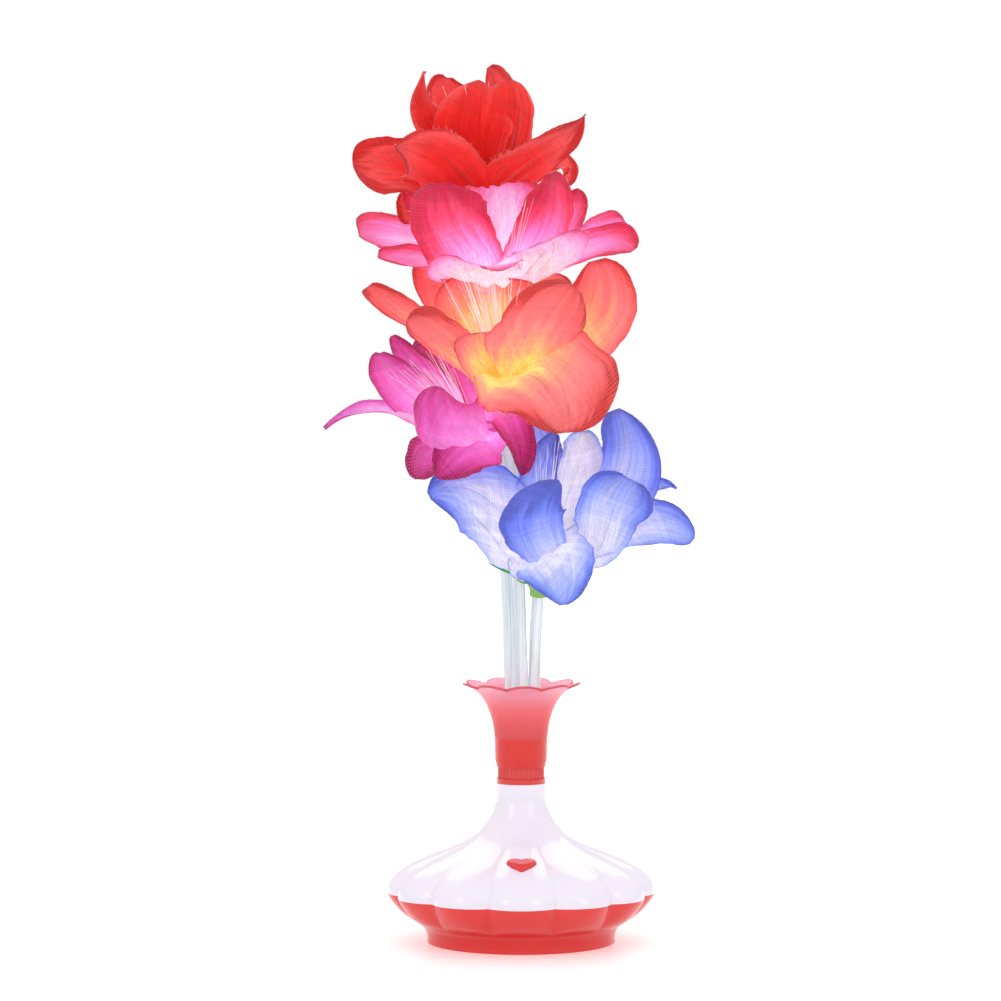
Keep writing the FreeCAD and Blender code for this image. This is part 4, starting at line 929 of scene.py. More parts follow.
                (0.9, 0.8), 1.2, sides=((0.58, 0.42, 1.0), (0.66, 0.40, 1.0)), curl=(1.0, 0.5), dye=-0.12),
            "right": petal([(478, 412, 4), (462, 378, 2), (412, 343, -2)], 18, (0.3, -0.8, 0.3), (0.8, 0.5),
                1.4, sides=((0.70, 0.45, 1.0), (0.60, 0.6, 1.0)), curl=(0.0, 0.9), fold=0.3),
        }),
    "blue": dict(
        hub=(7.2, -12, 142), axis=(0.1, -0.2, 0.97), nearer=0, foot=0, side=None,
        stem=[],
        outer={
            "left": petal([(512, 540, -14), (476, 500, -18), (428, 496, -20)], 37, (0.2, -0.8, 0.5),
                (0.6, 0.1), 1.2, foot=0.5, sides=((0.52, 0.62, 1.1), (0.46, 0.75, 1.0)), curl=(0.2, 0.4),
                fold=0.1, dye=-0.06),
            "falling": petal([(545, 558, -24), (556, 565, -38), (563, 606, -44)], 29, (0, -0.8, 0.6),
                (0.4, -0.5), foot=0.5, sides=((0.42, 0.65, 1.1), (0.46, 0.55, 1.1)), curl=(-0.5, -0.3),
                fold=0.15, dye=-0.14, face_tip=(0, -0.95, 0.3)),
            "front": petal([(556, 558, -24), (543, 524, -34), (560, 480, -33)], 27, (-0.2, 0.9, 0.2),
                (0.9, 0.8), 1.4, foot=0.4, sides=((0.62, 0.95, 1.4), (0.80, 0.34, 0.9)), curl=(0.5, 0.5),
                dye=0.20),
            "front_right": petal([(596, 548, -18), (606, 518, -26), (630, 478, -24)], 28, (-0.2, -0.8, 0.4),
                (0.8, 0.4), 1.6, foot=0.2, sides=((0.80, 0.42, 1.0), (0.86, 0.30, 1.1)), curl=(0.7, -0.5),
                dye=-0.15),
            "right": petal([(578, 556, -14), (636, 533, -20), (693, 542, -26)], 27, (0, -0.7, 0.7),
                (0.5, 0.1), 1.3, foot=0.5, sides=((0.62, 0.70, 1.1), (0.84, 0.40, 0.9)), curl=(0.0, 0.5),
                fold=0.15, dye=-0.14),
            "right_back": petal([(585, 540, 0), (632, 498, 6), (677, 489, 8)], 12, (0, -0.5, 0.8),
                (0.5, 0.2), blunt=0.9, dye=-0.1),
            "back_left": petal([(530, 545, 12), (515, 510, 28), (500, 490, 38)], 30),
            "back_right": petal([(555, 548, 10), (572, 515, 28), (588, 500, 40)], 30),
        },
        inner={
            "tall_right": petal([(574, 535, 2), (618, 482, 8), (618, 407, 8)], 30, (-0.4, -0.9, 0.2),
                (0.5, 0.1), 1.3, foot=0.5, sides=((0.86, 0.30, 0.72), (0.50, 0.85, 1.35)), curl=(0.4, 0.3),
                fold=-0.15, dye=-0.08),
            "tall_left": petal([(540, 530, 8), (538, 470, 16), (530, 402, 18)], 22, (0.1, -0.9, 0.2),
                (0.6, 0.2), blunt=0.7),
            "left": petal([(535, 540, -4), (533, 490, -6), (556, 432, -4)], 20, (0.4, -0.8, 0.2),
                (0.9, 0.5), 1.2, sides=((0.5, 0.7, 1.0), (0.6, 0.5, 1.0)), curl=(0.0, 0.7)),
            "middle": petal([(555, 530, 0), (577, 480, 4), (584, 430, 6)], 20, (0, -1, 0.2), (0.7, 0.4),
                1.2, sides=((0.82, 0.36, 1.0), (0.72, 0.46, 1.0)), curl=(0.5, 0.8), dye=-0.5),
            "back": petal([(562, 530, 12), (592, 480, 20), (605, 446, 22)], 19, (-0.2, -1, 0.2), (0.7, 0.4),
                dye=-0.3),
        }),
}
ROOT_R = 2.9  # of the petals' feet, from the flower's axis
PETAL_ROWS, PETAL_COLUMNS = 56, 41
TURNED = 0.35  # the share of its length by which a petal has turned to face its own way
LEVEL = 0.75  # how level a petal runs when its halves are the upper and the lower one
NOTCHES, NOTCH = 22, 0.020  # fine waves of a cut edge, and their size as a share of the half width
BULGES, BULGE = 6, 0.075  # slow waves of a cut edge, likewise
NIBBLE = 0.07  # millimetres by which the scissors wander from row to row
CURL_FROM, FOLD_REACH = 0.45, 0.15  # shares of the half width where the curl begins and the fold ends
FRILL, BILLOW, CREASE = 0.45, 0.40, 0.40  # heights of small waves at the edge, of slow ones, and of creases
PLEAT = 0.05  # height of the pleats at the foot, as a share of the half width
CREASES, CREASE_WIDTH = 3, 0.10
THREADS, THREAD_STEPS, THREAD_R = 44, 4, 0.05  # stray threads on each petal, their points and their radius
CLOTH_THICKNESS = 0.14


def cubic_through(share, points):
    """The cubic that passes four points at the shares 0, 1/3, 2/3 and 1, as Lagrange's sum."""
    x = np.array([0.0, 1 / 3, 2 / 3, 1.0])
    total = 0.0
    for i, point in enumerate(points):
        others = [k for k in range(4) if k != i]
        weight = np.prod([(share - x[k]) / (x[i] - x[k]) for k in others], axis=0)
        total = total + weight[:, None] * point
    return total


def outline_share(s, foot, widest, blunt):
    """A petal's half width along it: a sine up to the widest place, then a rounded fall to the tip."""
    rise = foot + (1 - foot) * np.sin(np.clip(s / widest, 0, 1) * math.pi / 2) ** 1.3
    fall = np.clip((s - widest) / (1 - widest), 0, 1)
    return rise * np.clip(1 - fall ** 2.2, 0, 1) ** blunt


def petal_spine(flower, row, s):
    """A petal's middle line, and at each point the ways ahead, sideways and out of its face.

    The line is the cubic from the petal's root through its route.  At its root the face looks at the
    flower's axis, and from there it turns to the way that its row says.
    """
    hub, axis = np.array(flower["hub"], float), unit(flower["axis"])
    through = [on_view(px, py, depth + flower["nearer"]) for px, py, depth in row["route"]]
    out = through[0] - hub
    out = unit(out - (out @ axis) * axis)
    spine = cubic_through(s, [hub + ROOT_R * out] + through)
    ahead = unit(np.gradient(spine, axis=0))
    away = spine - hub
    away = away - (away @ axis)[:, None] * axis
    away = np.where(np.linalg.norm(away, axis=1, keepdims=True) > 1e-6, unit(away), out)
    inward = -(ahead @ axis)[:, None] * away + np.einsum("ij,ij->i", ahead, away)[:, None] * axis
    if row["face"] is not None:
        first, last = unit(row["face"]), unit(row["face_tip"] or row["face"])
        share = smooth(s / TURNED)[:, None]
        inward = inward * (1 - share) + (first * (1 - s)[:, None] + last * s[:, None]) * share
    facing = unit(inward - np.einsum("ij,ij->i", inward, ahead)[:, None] * ahead)
    return spine, ahead, np.cross(ahead, facing), facing


def cut_edges(row, s):
    """The half widths of a petal's two sides, cut unevenly with notches, bulges and nibbles."""
    halves = []
    for widest, blunt, share in row["sides"]:
        notches = np.interp(s * NOTCHES, np.arange(NOTCHES + 2), rng.normal(size=NOTCHES + 2))
        nibbles = rng.normal(0, NIBBLE, len(s)) * smooth(s * 2)
        start = rng.random()
        bulges = np.interp(s * BULGES + start, np.arange(BULGES + 3), rng.normal(size=BULGES + 3))
        half = row["width"] / 2 * share * outline_share(s, row["foot"], widest, blunt)
        half = half * (1 + NOTCH * notches * smooth(s * 3)) * (1 + BULGE * bulges * smooth(s * 2.5))
        halves.append(half + nibbles)
    return halves


def petal_surface(flower, row):
    """A petal as a grid of points, with its flat coordinates, its own number and its cut area.

    From its spine, the section runs to each side along a line whose slope is the cup's angle times the
    way across, plus the fold at the middle and the curl near the edge; its points are the running sums
    of the half width times the slope's cosine and sine.  Waves along the edges, pleats from the foot,
    slow billows and a few pressed creases are added to its height.
    """
    s = np.linspace(0.0, 0.995, PETAL_ROWS)
    t = np.linspace(-1.0, 1.0, PETAL_COLUMNS)[None, :]
    spine, ahead, sideways, facing = petal_spine(flower, row, s)
    length = np.linalg.norm(np.diff(spine, axis=0), axis=1).sum()
    middle = PETAL_ROWS * 3 // 5
    runs_level = abs(ahead[middle, 0]) > LEVEL
    plus_first = sideways[middle, 2] > 0 if runs_level else sideways[middle, 0] < 0
    plus, minus = (0, 1) if plus_first else (1, 0)
    halves = cut_edges(row, s)
    half = np.where(t > 0, halves[plus][:, None], halves[minus][:, None])
    half = np.maximum(np.where(t == 0, (halves[0] + halves[1])[:, None] / 2, half), 0.05)

    s2, edge = s[:, None], np.abs(t)
    bend = (row["cup"][0] * (1 - s) + row["cup"][1] * s)[:, None] * t
    curl = np.where(t > 0, row["curl"][plus], row["curl"][minus])
    curl = curl * smooth((edge - CURL_FROM) / (1 - CURL_FROM))
    slope = bend + np.sign(t) * (curl * smooth(s2 * 2.2) + row["fold"] * smooth(edge / FOLD_REACH))
    step = t[0, 1] - t[0, 0]

    def summed(rate):
        """The running sum of a rate across the petal, from its middle column."""
        trapezia = np.cumsum((rate[:, 1:] + rate[:, :-1]) / 2 * step, axis=1)
        total = np.concatenate([np.zeros((len(s), 1)), trapezia], 1)
        return total - total[:, PETAL_COLUMNS // 2][:, None]

    x, y = summed(half * np.cos(slope)), summed(half * np.sin(slope))
    lot, phase = rng.random(), rng.random() * 2 * math.pi
    wave = 2 * math.pi * row["waves"] * s2 + np.where(t < 0, 1.9, 0.0)
    y = y + row["ruffle"] * edge ** 1.5 * s2 ** 1.2 * np.sin(wave)
    y = y + FRILL * t ** 4 * smooth(s2 * 2) * np.sin(2 * math.pi * (3.7 * s2 + 0.3 * t) + phase)
    y = y + PLEAT * half * (1 - s2) * smooth(s2 * 4) * np.sin(2 * math.pi * 2.2 * t + phase)
    y = y + BILLOW * np.sin(3.1 * t + 5.3 * s2 + phase) * smooth(s2 * 2)
    for crease in rng.uniform(-0.6, 0.6, CREASES):
        aside = np.abs(t - crease * (0.35 + 0.65 * s2)) / CREASE_WIDTH
        y = y + CREASE * np.exp(-aside) * smooth(s2 * 4) * (1 - smooth((s2 - 0.55) / 0.40))
    points = spine[:, None] + x[..., None] * sideways[:, None] + y[..., None] * facing[:, None]

    turn = 0.3 + 2.6 * rng.random()
    flat = np.stack([half * t, np.broadcast_to(s2 * length, x.shape)], -1)
    turned = np.array([[math.cos(turn), math.sin(turn)], [-math.sin(turn), math.cos(turn)]])
    cut = float((halves[0] + halves[1]).mean() * length)
    return points, flat @ turned / UV_MM + 0.5, lot, cut


def edge_threads(grids):
    """Short stray threads along the petals' edges: each starts on an edge and leans out of it.

    A thread's points are its start, plus its length times the steps along its way and a bow that grows
    with the steps' square.
    """
    starts, ways = [], []
    for points in grids:
        at = rng.integers(int(PETAL_ROWS * 0.35), PETAL_ROWS - 1, THREADS)
        side = rng.integers(0, 2, THREADS) * (PETAL_COLUMNS - 1)
        near = np.where(side == 0, 2, PETAL_COLUMNS - 3)
        start = points[at, side]
        out = unit(start - points[at, near])
        on = unit(points[np.minimum(at + 1, PETAL_ROWS - 1), side] - points[at - 1, side])
        lean = on * rng.uniform(-0.5, 1.1, (THREADS, 1)) + rng.normal(0, 0.35, (THREADS, 3))
        starts.append(start)
        ways.append(unit(out + lean))
    start, way = np.concatenate(starts), np.concatenate(ways)
    n = len(start)
    length = rng.uniform(0.5, 1.7, (n, 1, 1)) * np.where(rng.random((n, 1, 1)) < 0.04, 2.6, 1.0)
    step = np.linspace(-0.15, 1.0, THREAD_STEPS)[None, :, None]
    bow = unit(np.cross(way, rng.normal(size=(n, 3))))[:, None] * 0.25 * step ** 2
    return start[:, None] + length * (way[:, None] * step + bow)


# The five dyed cloths: what cloth() takes, with its stops from the petal's foot to its edge.
CLOTHS = {
    # red: darker towards the foot, partly its dye and partly painted shade where the petals crowd at the
    # throat
    "red": dict(side=0.40, glow=0.10, through=0.28, painted_hole_white=0.20, stops=[
        (0.0, linear(0.84, 0.03, 0.0)), (0.34, linear(0.92, 0.09, 0.06)), (0.62, linear(0.96, 0.19, 0.17)),
        (0.9, linear(0.98, 0.36, 0.37)), (1.0, linear(0.88, 0.18, 0.18))]),
    "pink": dict(side=0.50, glow=0.50, through=0.40, painted_hole_white=0.55, stops=[
        (0.0, linear(1.0, 0.96, 1.0)), (0.36, linear(1.0, 0.84, 0.98)), (0.58, linear(1.0, 0.62, 0.88)),
        (0.80, linear(0.98, 0.36, 0.55)), (1.0, linear(0.90, 0.20, 0.38))]),
    "orange": dict(side=0.42, glow=0.45, through=0.40, painted_hole_white=0.70, stops=[
        (0.0, linear(1.0, 0.80, 0.34)), (0.30, linear(1.0, 0.90, 0.58)), (0.46, linear(1.0, 0.74, 0.58)),
        (0.66, linear(1.0, 0.58, 0.58)), (0.88, linear(0.98, 0.46, 0.47)), (1.0, linear(0.88, 0.26, 0.25))]),
    "magenta": dict(side=0.45, glow=0.50, through=0.34, painted_hole_white=0.45, stops=[
        (0.0, linear(1.0, 0.86, 1.0)), (0.30, linear(0.98, 0.62, 0.92)), (0.65, linear(0.93, 0.38, 0.78)),
        (0.88, linear(0.85, 0.22, 0.58)), (1.0, linear(0.76, 0.13, 0.46))]),
    "blue": dict(side=0.42, glow=0.18, through=0.45, painted_hole_white=0.55, stops=[
        (0.0, linear(0.99, 0.98, 1.0)), (0.42, linear(0.94, 0.94, 1.0)), (0.66, linear(0.76, 0.81, 1.0)),
        (0.86, linear(0.57, 0.65, 0.99)), (1.0, linear(0.44, 0.50, 0.88))]),
}


def make_petals(name, layer, material, frayed):
    """One whorl of petals, cut from one sheet of cloth, and the threads that fray from their edges."""
    flower = FLOWERS[name]
    rows = flower[layer].values()
    grids, flats, lots, cuts = zip(*(petal_surface(flower, row) for row in rows))
    count, corners = len(grids), PETAL_ROWS * PETAL_COLUMNS
    faces = np.concatenate([grid_faces(PETAL_ROWS, PETAL_COLUMNS) + k * corners for k in range(count)])
    s, t = np.meshgrid(np.linspace(0, 1, PETAL_ROWS), np.linspace(-1, 1, PETAL_COLUMNS), indexing="ij")
    marks = {"along": np.tile(s.ravel(), count), "across": np.tile(t.ravel(), count),
             "lot": np.repeat(10 * np.array(lots), corners),
             "dye": np.repeat([row["dye"] for row in rows], corners)}
    sheet = piece(f"{name}_{layer}_cloth", np.concatenate(grids).reshape(-1, 3), faces, BODY_BOUQUET,
                  material, f"{name}_cloth", uv=np.concatenate(flats).reshape(-1, 2), marks=marks)
    thick = sheet.modifiers.new("thickness", "SOLIDIFY")
    thick.thickness, thick.offset = CLOTH_THICKNESS * MM, 0.0
    paths = edge_threads(grids)
    lot = np.repeat(rng.random(len(paths)), THREAD_STEPS * ROD_SIDES)
    fringe = piece(f"{name}_{layer}_fringe", *strands(paths, THREAD_R), BODY_BOUQUET, frayed,
                   f"{name}_cloth", marks={"lot": lot})
    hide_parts(f"{name}_{layer}_petals")


def flower_axes(flower):
    """The flower's own side, front and axis directions."""
    up = unit(flower["axis"])
    right = unit(np.cross(np.array([0.0, 1.0, 0.0]), up))
    return right, np.cross(up, right), up


# ------------------------------------------------------------------ fibres
FIBRES, BUNDLE_STEPS, CORE_SIDES, SPRAY_STEPS = 84, 19, 12, 7
SPRAY_DROOP, SPRAY_STRAY = 0.05, 0.045  # how far a free end sags and strays, as shares of its length
SPRAYS = {  # count, lean to the right and to the front, spread (degrees), shortest and longest (millimetres)
    "red": (24, -16, -4, 16, 30, 50),
    "pink": (52, 6, 0, 13, 26, 42),
    "orange": (96, -15, 8, 22, 32, 60),
    "magenta": (56, -6, 6, 17, 26, 46),
    "blue": (56, 3, 0, 14, 30, 56),
}


def bundle_route(flower):
    """The route of a bundle from the ferrule to the flower's throat, in millimetres."""
    angle, apart = -flower["foot"] * 2 * math.pi / BUNDLES, BUNDLE_R + BUNDLE_GAP
    ring = (BUNDLE_R + BUNDLE_GAP / 2) / math.sin(math.pi / BUNDLES)
    x, y = ring * math.cos(angle), ring * math.sin(angle)
    route = [(x, y, PLUG_Z), (x, y, GRIP_TOP_Z)]
    if flower["side"] is None:
        route.append((2.28 * apart, -0.34 * apart, RIM_CROSSING_Z))
    else:
        right, back = flower["side"]
        route.append((right * apart - 2, back * apart, RIM_CROSSING_Z))
        route.append((right * apart - 3.1, back * (apart + 0.35), SQUARE_Z))
    hub, axis = np.array(flower["hub"], float), unit(flower["axis"])
    route += flower["stem"] + [tuple(hub - axis * BUNDLE_END), tuple(hub + axis * (COLLAR_HEIGHT + 1))]
    return route


def make_bundle(name, glass):
    """A bundle of thin fibres side by side, which wander a little, with those in its middle as one rod.

    In a cross-section the fibres lie on a sunflower's spiral: the k-th at the root of its share of
    the count, a golden angle on from the last.  Only the outer half of them is drawn one by one.
    """
    shares = np.linspace(0.0, 1.0, BUNDLE_STEPS)
    middle = along_line(route_line(bundle_route(FLOWERS[name])), shares)
    across, other = (side[0] for side in side_frames(middle[None]))
    k = np.arange(FIBRES // 2, FIBRES)
    far = (BUNDLE_R - 0.15) * np.sqrt((k + 0.5) / FIBRES)
    golden = k * math.pi * (3 - math.sqrt(5))
    wander = rng.normal(0, 0.15, (len(k), 2, 5))
    drift = np.array([[np.interp(shares * 4, np.arange(5), w) for w in both] for both in wander])
    angle = golden[:, None] + 0.9 * shares[None, :] + drift[:, 0] * 1.6
    reach = np.clip(far[:, None] * (1 + drift[:, 1]), 0.0, BUNDLE_R + 0.25)
    paths = middle[None] + reach[..., None] * (np.cos(angle)[..., None] * across[None]
                                              + np.sin(angle)[..., None] * other[None])
    points, faces = strands(paths, rng.uniform(0.15, 0.25, len(k)))
    along = shares * 0.95  # short of the polished ends
    bundle = piece(f"{name}_bundle", points, faces, BODY_BOUQUET, glass, "light_fibre",
                   marks={"lot": np.repeat(rng.random(len(k)), BUNDLE_STEPS * ROD_SIDES),
                          "along": np.tile(np.repeat(along, ROD_SIDES), len(k))})
    turn = 2 * math.pi * np.arange(CORE_SIDES) / CORE_SIDES
    around = across[:, None] * np.cos(turn)[None, :, None] + other[:, None] * np.sin(turn)[None, :, None]
    core = (middle[:, None] + CORE_R * around).reshape(-1, 3)
    i, last = np.arange(1, CORE_SIDES - 1), (BUNDLE_STEPS - 1) * CORE_SIDES
    lids = np.concatenate([np.stack([0 * i, i + 1, i], -1), last + np.stack([0 * i, i, i + 1], -1)])
    inside = piece(f"{name}_bundle_core", core, [grid_faces(BUNDLE_STEPS, CORE_SIDES, closed=True), lids],
                   BODY_BOUQUET, glass, "light_fibre",
                   marks={"lot": np.tile(np.abs(np.sin(turn * 2.5)), BUNDLE_STEPS),
                          "along": np.repeat(along, CORE_SIDES)})
    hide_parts(f"{name}_fibres")
    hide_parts(f"{name}_fibres")


def make_spray(name, glass):
    """The fibres' free ends: ways that spread from the collar in a leaning cone, and sag a little."""
    n, lean_right, lean_front, spread, short, long = SPRAYS[name]
    flower = FLOWERS[name]
    right, back, up = flower_axes(flower)
    pick = 2 * math.pi * rng.random(n)
    tilt = np.radians(spread) * np.sqrt(rng.random(n))
    sideways = np.radians(lean_right) + tilt * np.cos(pick)
    frontways = np.radians(lean_front) + tilt * np.sin(pick)
    way = unit(up + np.tan(sideways)[:, None] * right - np.tan(frontways)[:, None] * back)
    apart = np.sin(sideways)[:, None] * right * 2.2 - np.sin(frontways)[:, None] * back * 2.2
    foot = np.array(flower["hub"], float) + up * COLLAR_HEIGHT + (BUNDLE_R - 0.6) * apart
    length = rng.uniform(short, long, n)[:, None, None]
    step = np.linspace(0.0, 1.0, SPRAY_STEPS)[None, :, None]
    droop = np.array([0.0, 0.0, -1.0]) * SPRAY_DROOP * step ** 2
    stray = unit(rng.normal(size=(n, 3)))[:, None] * SPRAY_STRAY * step ** 2
    paths = foot[:, None] + length * (way[:, None] * step + (droop + stray))
    points, faces = strands(paths, rng.uniform(0.05, 0.09, n))
    piece(f"{name}_spray", points, faces, BODY_BOUQUET, glass, "light_fibre",
          marks={"lot": np.repeat(rng.random(n), SPRAY_STEPS * ROD_SIDES),
                 "along": np.tile(np.repeat(step.ravel(), ROD_SIDES), n)})


# ------------------------------------------------------------------ calyxes
CUP_SIDES, CUP_WALL, LEAF_ROWS, LEAF_COLUMNS, LEAF_THICKNESS, LEAF_HALF = 32, 0.45, 12, 7, 0.24, 1.45
LEAVES = {  # how many leaves, how long in millimetres, the first one's turn in degrees, and their droop
    "red": (5, 5.0, 36.0, -0.9), "pink": (5, 5.0, 245.0, -0.9), "orange": (5, 9.0, 220.0, 0.5),
    "magenta": (4, 9.0, 178.0, 0.3), "blue": (5, 17.0, 262.0, -0.30),
}


def leaf_faces():
    """The faces of a leaf: an upper grid, a lower one, and the wall between their rims."""
    corners = LEAF_ROWS * LEAF_COLUMNS
    top, index = grid_faces(LEAF_ROWS, LEAF_COLUMNS), np.arange(corners).reshape(LEAF_ROWS, LEAF_COLUMNS)
    rim = np.concatenate([index[0], index[1:, -1], index[-1, -2::-1], index[-2:0:-1, 0]])
    after = np.roll(rim, -1)
    wall = np.stack([rim, rim + corners, after + corners, after], -1)
    return np.concatenate([top[:, ::-1], top + corners, wall])


def make_calyx(name, leaf):
    """A green cup turned round the flower's axis, with pointed leaves that leave its rim.

    A leaf's half width follows the sine of its length to the power 0.7, it is folded along its vein
    and it droops with the square of the way along it.
    """
    flower = FLOWERS[name]
    right, back, up = flower_axes(flower)
    hub = np.array(flower["hub"], float)
    turn = 2 * math.pi * np.arange(CUP_SIDES) / CUP_SIDES
    outer = natural_spline(CUP, 16)
    inner = outer[::-1] - np.array([CUP_WALL, 0.0])
    inner[:, 0] = np.maximum(inner[:, 0], BUNDLE_R + 0.15)
    wall = np.concatenate([outer, inner, outer[:1]])
    ring = wall[:, None, 0, None] * (np.cos(turn)[None, :, None] * right + np.sin(turn)[None, :, None] * back)
    points = [(hub + ring + wall[:, None, 1, None] * up).reshape(-1, 3)]
    faces = [grid_faces(len(wall), CUP_SIDES, closed=True)]
    along, across = [np.full(len(points[0]), 0.12)], [np.ones(len(points[0]))]
    count, length, first, droop = LEAVES[name]
    s, t = np.meshgrid(np.linspace(0, 1, LEAF_ROWS), np.linspace(-1, 1, LEAF_COLUMNS), indexing="ij")
    half = LEAF_HALF * (0.25 + 0.75 * np.sin(math.pi * np.clip(0.12 + s * 0.88, 0, 1)) ** 0.7) * (1 - s ** 6)
    reach = CUP[-1][0] - 1.0 + s * length
    for i in range(count):
        angle = math.radians(first + 360 / count * i - 90)
        out = right * math.cos(angle) + back * math.sin(angle)
        side = back * math.cos(angle) - right * math.sin(angle)
        rise = -1.0 - droop * length * s ** 2 + 0.3 * np.abs(t) * half + 0.25 * np.sin(5 * s + i)
        layer = hub + reach[..., None] * out + (half * t)[..., None] * side + rise[..., None] * up
        faces.append(leaf_faces() + sum(len(p) for p in points))
        both = [layer + up * LEAF_THICKNESS / 2, layer - up * LEAF_THICKNESS / 2]
        points.append(np.concatenate(both).reshape(-1, 3))
        along.append(np.tile(s.ravel(), 2))
        across.append(np.tile(t.ravel(), 2))
    made = piece(f"{name}_leaves", np.concatenate(points), np.concatenate(faces), BODY_BOUQUET, leaf,
                 "green_cloth", marks={"along": np.concatenate(along), "across": np.concatenate(across)})
    weld(made.data, outward=True)
    made.data.set_sharp_from_angle(angle=math.radians(50))
    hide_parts(f"{name}_calyx")


# ------------------------------------------------------------------ stage and light
FLOOR_OPENING, FLOOR_REACH, FLOOR_CORNERS = FOOT_R - 0.05, 7000.0, 96  # millimetres
FLOOR_LIFT, FLOOR_LIFT_FAR = 0.30, 0.60  # white added to the floor that is seen, near the lamp and far off
AMBIENT, SEEN_IN_GLOSS = 0.93, 0.78  # the world's light, and the white that glossy surfaces mirror


def make_floor():
    """A flat ring, open inside the lamp's foot, that shows only from above.

    So the lamp's underside and its door can be looked at from below.
    """
    turn = 2 * math.pi * np.arange(FLOOR_CORNERS) / FLOOR_CORNERS
    rim = np.stack([np.cos(turn), np.sin(turn), np.zeros(FLOOR_CORNERS)], -1)
    mesh = bpy.data.meshes.new("floor")
    mesh.from_pydata((np.concatenate([rim * FLOOR_OPENING, rim * FLOOR_REACH]) * MM).tolist(), [],
                     grid_faces(2, FLOOR_CORNERS, closed=True)[:, ::-1].tolist())
    floor = put("floor", mesh)
    material, tree, surface = new_material("floor")
    place = object_place(tree)
    path = add(tree, "ShaderNodeLightPath").outputs
    mirrored = calc(tree, "MAXIMUM", path["Is Glossy Ray"], path["Is Transmission Ray"])
    seen = calc(tree, "MAXIMUM", path["Is Camera Ray"], mirrored)
    rough = calc(tree, "MULTIPLY_ADD", noise(tree, place, 6.0), 0.04, 0.30)
    ground = shader(tree, "BsdfPrincipled", Base_Color=(0.93, 0.93, 0.935, 1.0), Roughness=rough,
                    Specular_IOR_Level=0.35)
    far = add(tree, "ShaderNodeVectorMath", {0: place}, operation="LENGTH").outputs["Value"]
    away = between(tree, far, 0.10, 0.45)
    lifted = calc(tree, "MULTIPLY_ADD", away, FLOOR_LIFT_FAR - FLOOR_LIFT, FLOOR_LIFT)
    lift = shader(tree, "Emission", Color=WHITE, Strength=calc(tree, "MULTIPLY", seen, lifted))
    topside = add(tree, "ShaderNodeAddShader", {0: ground, 1: lift}).outputs[0]
    below = add(tree, "ShaderNodeNewGeometry").outputs["Backfacing"]
    tree.links.new(blend_shaders(tree, below, topside, shader(tree, "BsdfTransparent")), surface)
    mesh.materials.append(material)


def make_sky():
    """A white world that lights the lamp a little less than it shows, and less again in glossy surfaces."""
    world = bpy.data.worlds.new("studio")
    world.use_nodes = True
    tree = world.node_tree
    tree.nodes.clear()
    path = add(tree, "ShaderNodeLightPath").outputs
    seen = calc(tree, "MAXIMUM", path["Is Camera Ray"], path["Is Transmission Ray"])
    strength = calc(tree, "MULTIPLY_ADD", seen, 1.0 - AMBIENT, AMBIENT)
    strength = calc(tree, "MULTIPLY_ADD", path["Is Glossy Ray"], SEEN_IN_GLOSS - AMBIENT, strength)
    tree.links.new(shader(tree, "Background", Color=WHITE, Strength=strength),
                   add(tree, "ShaderNodeOutputWorld").inputs["Surface"])
    bpy.context.scene.world = world
    bpy.context.scene.view_settings.view_transform = "Standard"


SOFT_BOXES = [  # place and target in metres, width and height in metres, watts
    ((-0.95, -0.95, 0.75), (0.0, 0.0, 0.16), 0.5, 0.8, 1.8),
    ((0.95, -0.95, 0.70), (0.0, 0.0, 0.16), 0.5, 0.8, 1.8),
    ((0.0, 0.75, 0.75), (0.0, 0.0, 0.22), 1.0, 0.6, 2.1),
]


def make_lights():
    """Three weak soft boxes: two in front and one behind."""
    for i, (place, target, width, height, watts) in enumerate(SOFT_BOXES):
        data = bpy.data.lights.new(f"soft_box_{i + 1}", "AREA")
        data.shape = "RECTANGLE"
        data.size, data.size_y, data.energy = width, height, watts
        lamp = put(data.name, data)
        lamp.location = place
        lamp.rotation_euler = (Vector(target) - Vector(place)).to_track_quat("-Z", "Y").to_euler()


# ------------------------------------------------------------------ finishes of the CAD nodes that stay
def finish_node(node, material):
    """Gives a CAD node that stays its finish."""
    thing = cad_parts[node]
    if not thing.material_slots:
        thing.data.materials.append(None)
    for place in thing.material_slots:
        place.link = "OBJECT"
        place.material = material


def cell_material():
    """A cell's plain dark sleeve with fine scratches."""
    material, tree, surface = new_material("cell sleeve")
    place = object_place(tree)
    scratch = between(tree, noise(tree, place, 700.0, 4.0), 0.62, 0.70)
    dark, bare = linear(0.13, 0.13, 0.15), linear(0.6, 0.6, 0.6)
    colour = blend_colour(tree, calc(tree, "MULTIPLY", scratch, 0.5), dark, bare)
    rough = calc(tree, "MULTIPLY_ADD", noise(tree, place, 200.0), 0.2, 0.2)
    tree.links.new(shader(tree, "BsdfPrincipled", Base_Color=colour, Metallic=0.4, Roughness=rough), surface)
    return material


def board_material():
    """A green board with tracks under its lacquer."""
    material, tree, surface = new_material("board lacquer")
    place = object_place(tree)
    tracks = add(tree, "ShaderNodeTexBrick",
                 {"Vector": place, "Scale": 260.0, "Mortar Size": 0.06, "Mortar": linear(0.30, 0.62, 0.32),
                  "Color1": linear(0.05, 0.36, 0.16), "Color2": linear(0.06, 0.32, 0.15)})
    grain = noise(tree, place, 1500.0, 2.0)
    rough = calc(tree, "MULTIPLY_ADD", grain, 0.3, 0.2)
    tree.links.new(shader(tree, "BsdfPrincipled", Base_Color=tracks.outputs[0], Roughness=rough,
                          Normal=bump(tree, tracks.outputs[1], 0.0001)), surface)
    return material


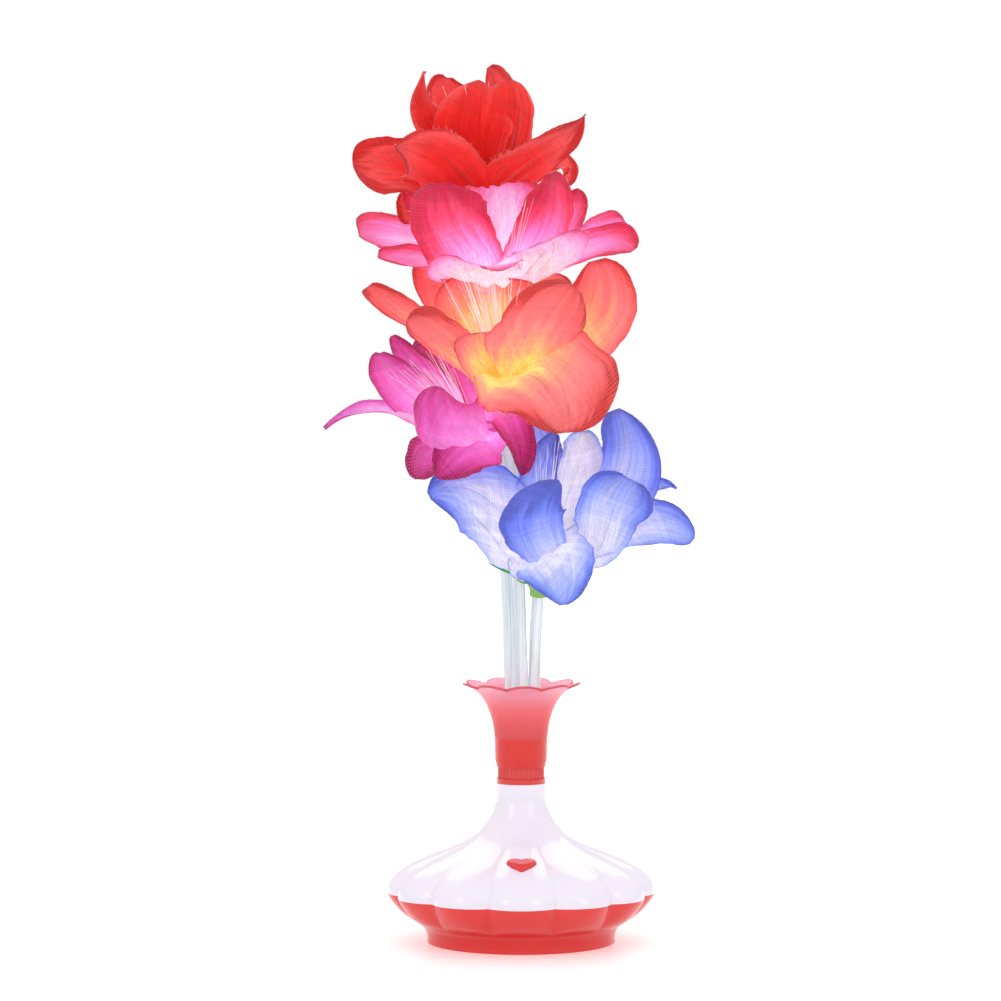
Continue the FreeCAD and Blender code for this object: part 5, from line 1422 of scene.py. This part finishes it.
def led_material():
    """A clear lens with a bright die low in its middle."""
    material, tree, surface = new_material("light lens")
    place = object_place(tree)
    z = add(tree, "ShaderNodeSeparateXYZ", {0: place}).outputs[2]
    low = calc(tree, "SUBTRACT", 1.0, between(tree, z, 0.0362, 0.0375))
    colour = blend_colour(tree, low, linear(0.93, 0.95, 0.97), linear(0.75, 0.74, 0.7))
    rough = calc(tree, "MULTIPLY_ADD", noise(tree, place, 600.0), 0.08, 0.02)
    tree.links.new(shader(tree, "BsdfPrincipled", Base_Color=colour, Roughness=rough,
                          Transmission_Weight=0.85, IOR=1.5), surface)
    return material


def finish_nodes(red):
    """The finishes of the parts inside, and the battery door in the base's red plastic."""
    dark = plastic("black plastic", linear(0.10, 0.10, 0.11), linear(0.35, 0.35, 0.36), 0.45, 1.0)
    switch = plastic("switch plastic", linear(0.30, 0.30, 0.32), linear(0.5, 0.5, 0.5), 0.4, 1.0)
    steel = metal("screw steel", (0.62, 0.62, 0.63, 1.0), 0.25)
    nickel = metal("contact nickel", (0.75, 0.73, 0.68, 1.0), 0.2)
    band = metal("ferrule aluminium", (0.80, 0.80, 0.82, 1.0), 0.28)
    sleeve, board, lens = cell_material(), board_material(), led_material()
    for node, material, slot in [
            ("shell_screws", steel, "screw_steel"), ("board_screws", steel, "screw_steel"),
            ("circuit_board", board, "board_green"), ("switch_body", dark, "black_plastic"),
            ("switch_plunger", switch, "switch_grey"),
            ("ferrule", band, "ferrule_metal")]:
        finish_node(node, material)
    for end in ("plus", "minus", "bridge_left", "bridge_right"):
        finish_node(f"contact_{end}", nickel)
    for i in (1, 2, 3):
        finish_node(f"cell_{i}", sleeve)
        finish_node(f"led_{i}", lens)
    clear = plastic("clear plastic", linear(0.86, 0.93, 0.90), linear(0.95, 0.98, 0.97), 0.12, 0.3, 0.2)
    for name in FLOWERS:
        finish_node(f"{name}_collar", clear)
    merged_copy("battery_door", "battery_cover", BODY_DOOR, red)


# ------------------------------------------------------------------ the lamp
make_camera()
make_floor()
make_sky()
make_lights()
coral = make_shells()
make_trumpet()
button_red = make_heart()
plug_red = plastic("plug plastic", linear(0.86, 0.16, 0.15), linear(0.95, 0.4, 0.4), 0.25, 0.5, 0.2)
merged_copy("neck_plug", "neck_fitting", BODY_BOUQUET, plug_red, 25.0)
draw_in_stem(merged_copy("heart_button", "heart_stem", BODY_BUTTON, button_red))
finish_nodes(coral)
stem_glass = fibre_material("stem fibre", linear(0.84, 0.90, 0.91), linear(0.98, 0.99, 1.0), 0.12, 0.35, 0.20)
spray_glass = fibre_material("spray fibre", linear(0.97, 0.97, 1.0), linear(1.0, 0.99, 1.0), 0.35, 0.4, 0.45)
green = leaf_material("leaf cloth")
for name in FLOWERS:
    dyed = cloth(f"{name} petal cloth", **CLOTHS[name])
    frayed = thread_material(f"{name} thread", CLOTHS[name]["stops"][-2][1])
    make_petals(name, "outer", dyed, frayed)
    make_petals(name, "inner", dyed, frayed)
    make_bundle(name, stem_glass)
    make_spray(name, spray_glass)
    make_calyx(name, green)
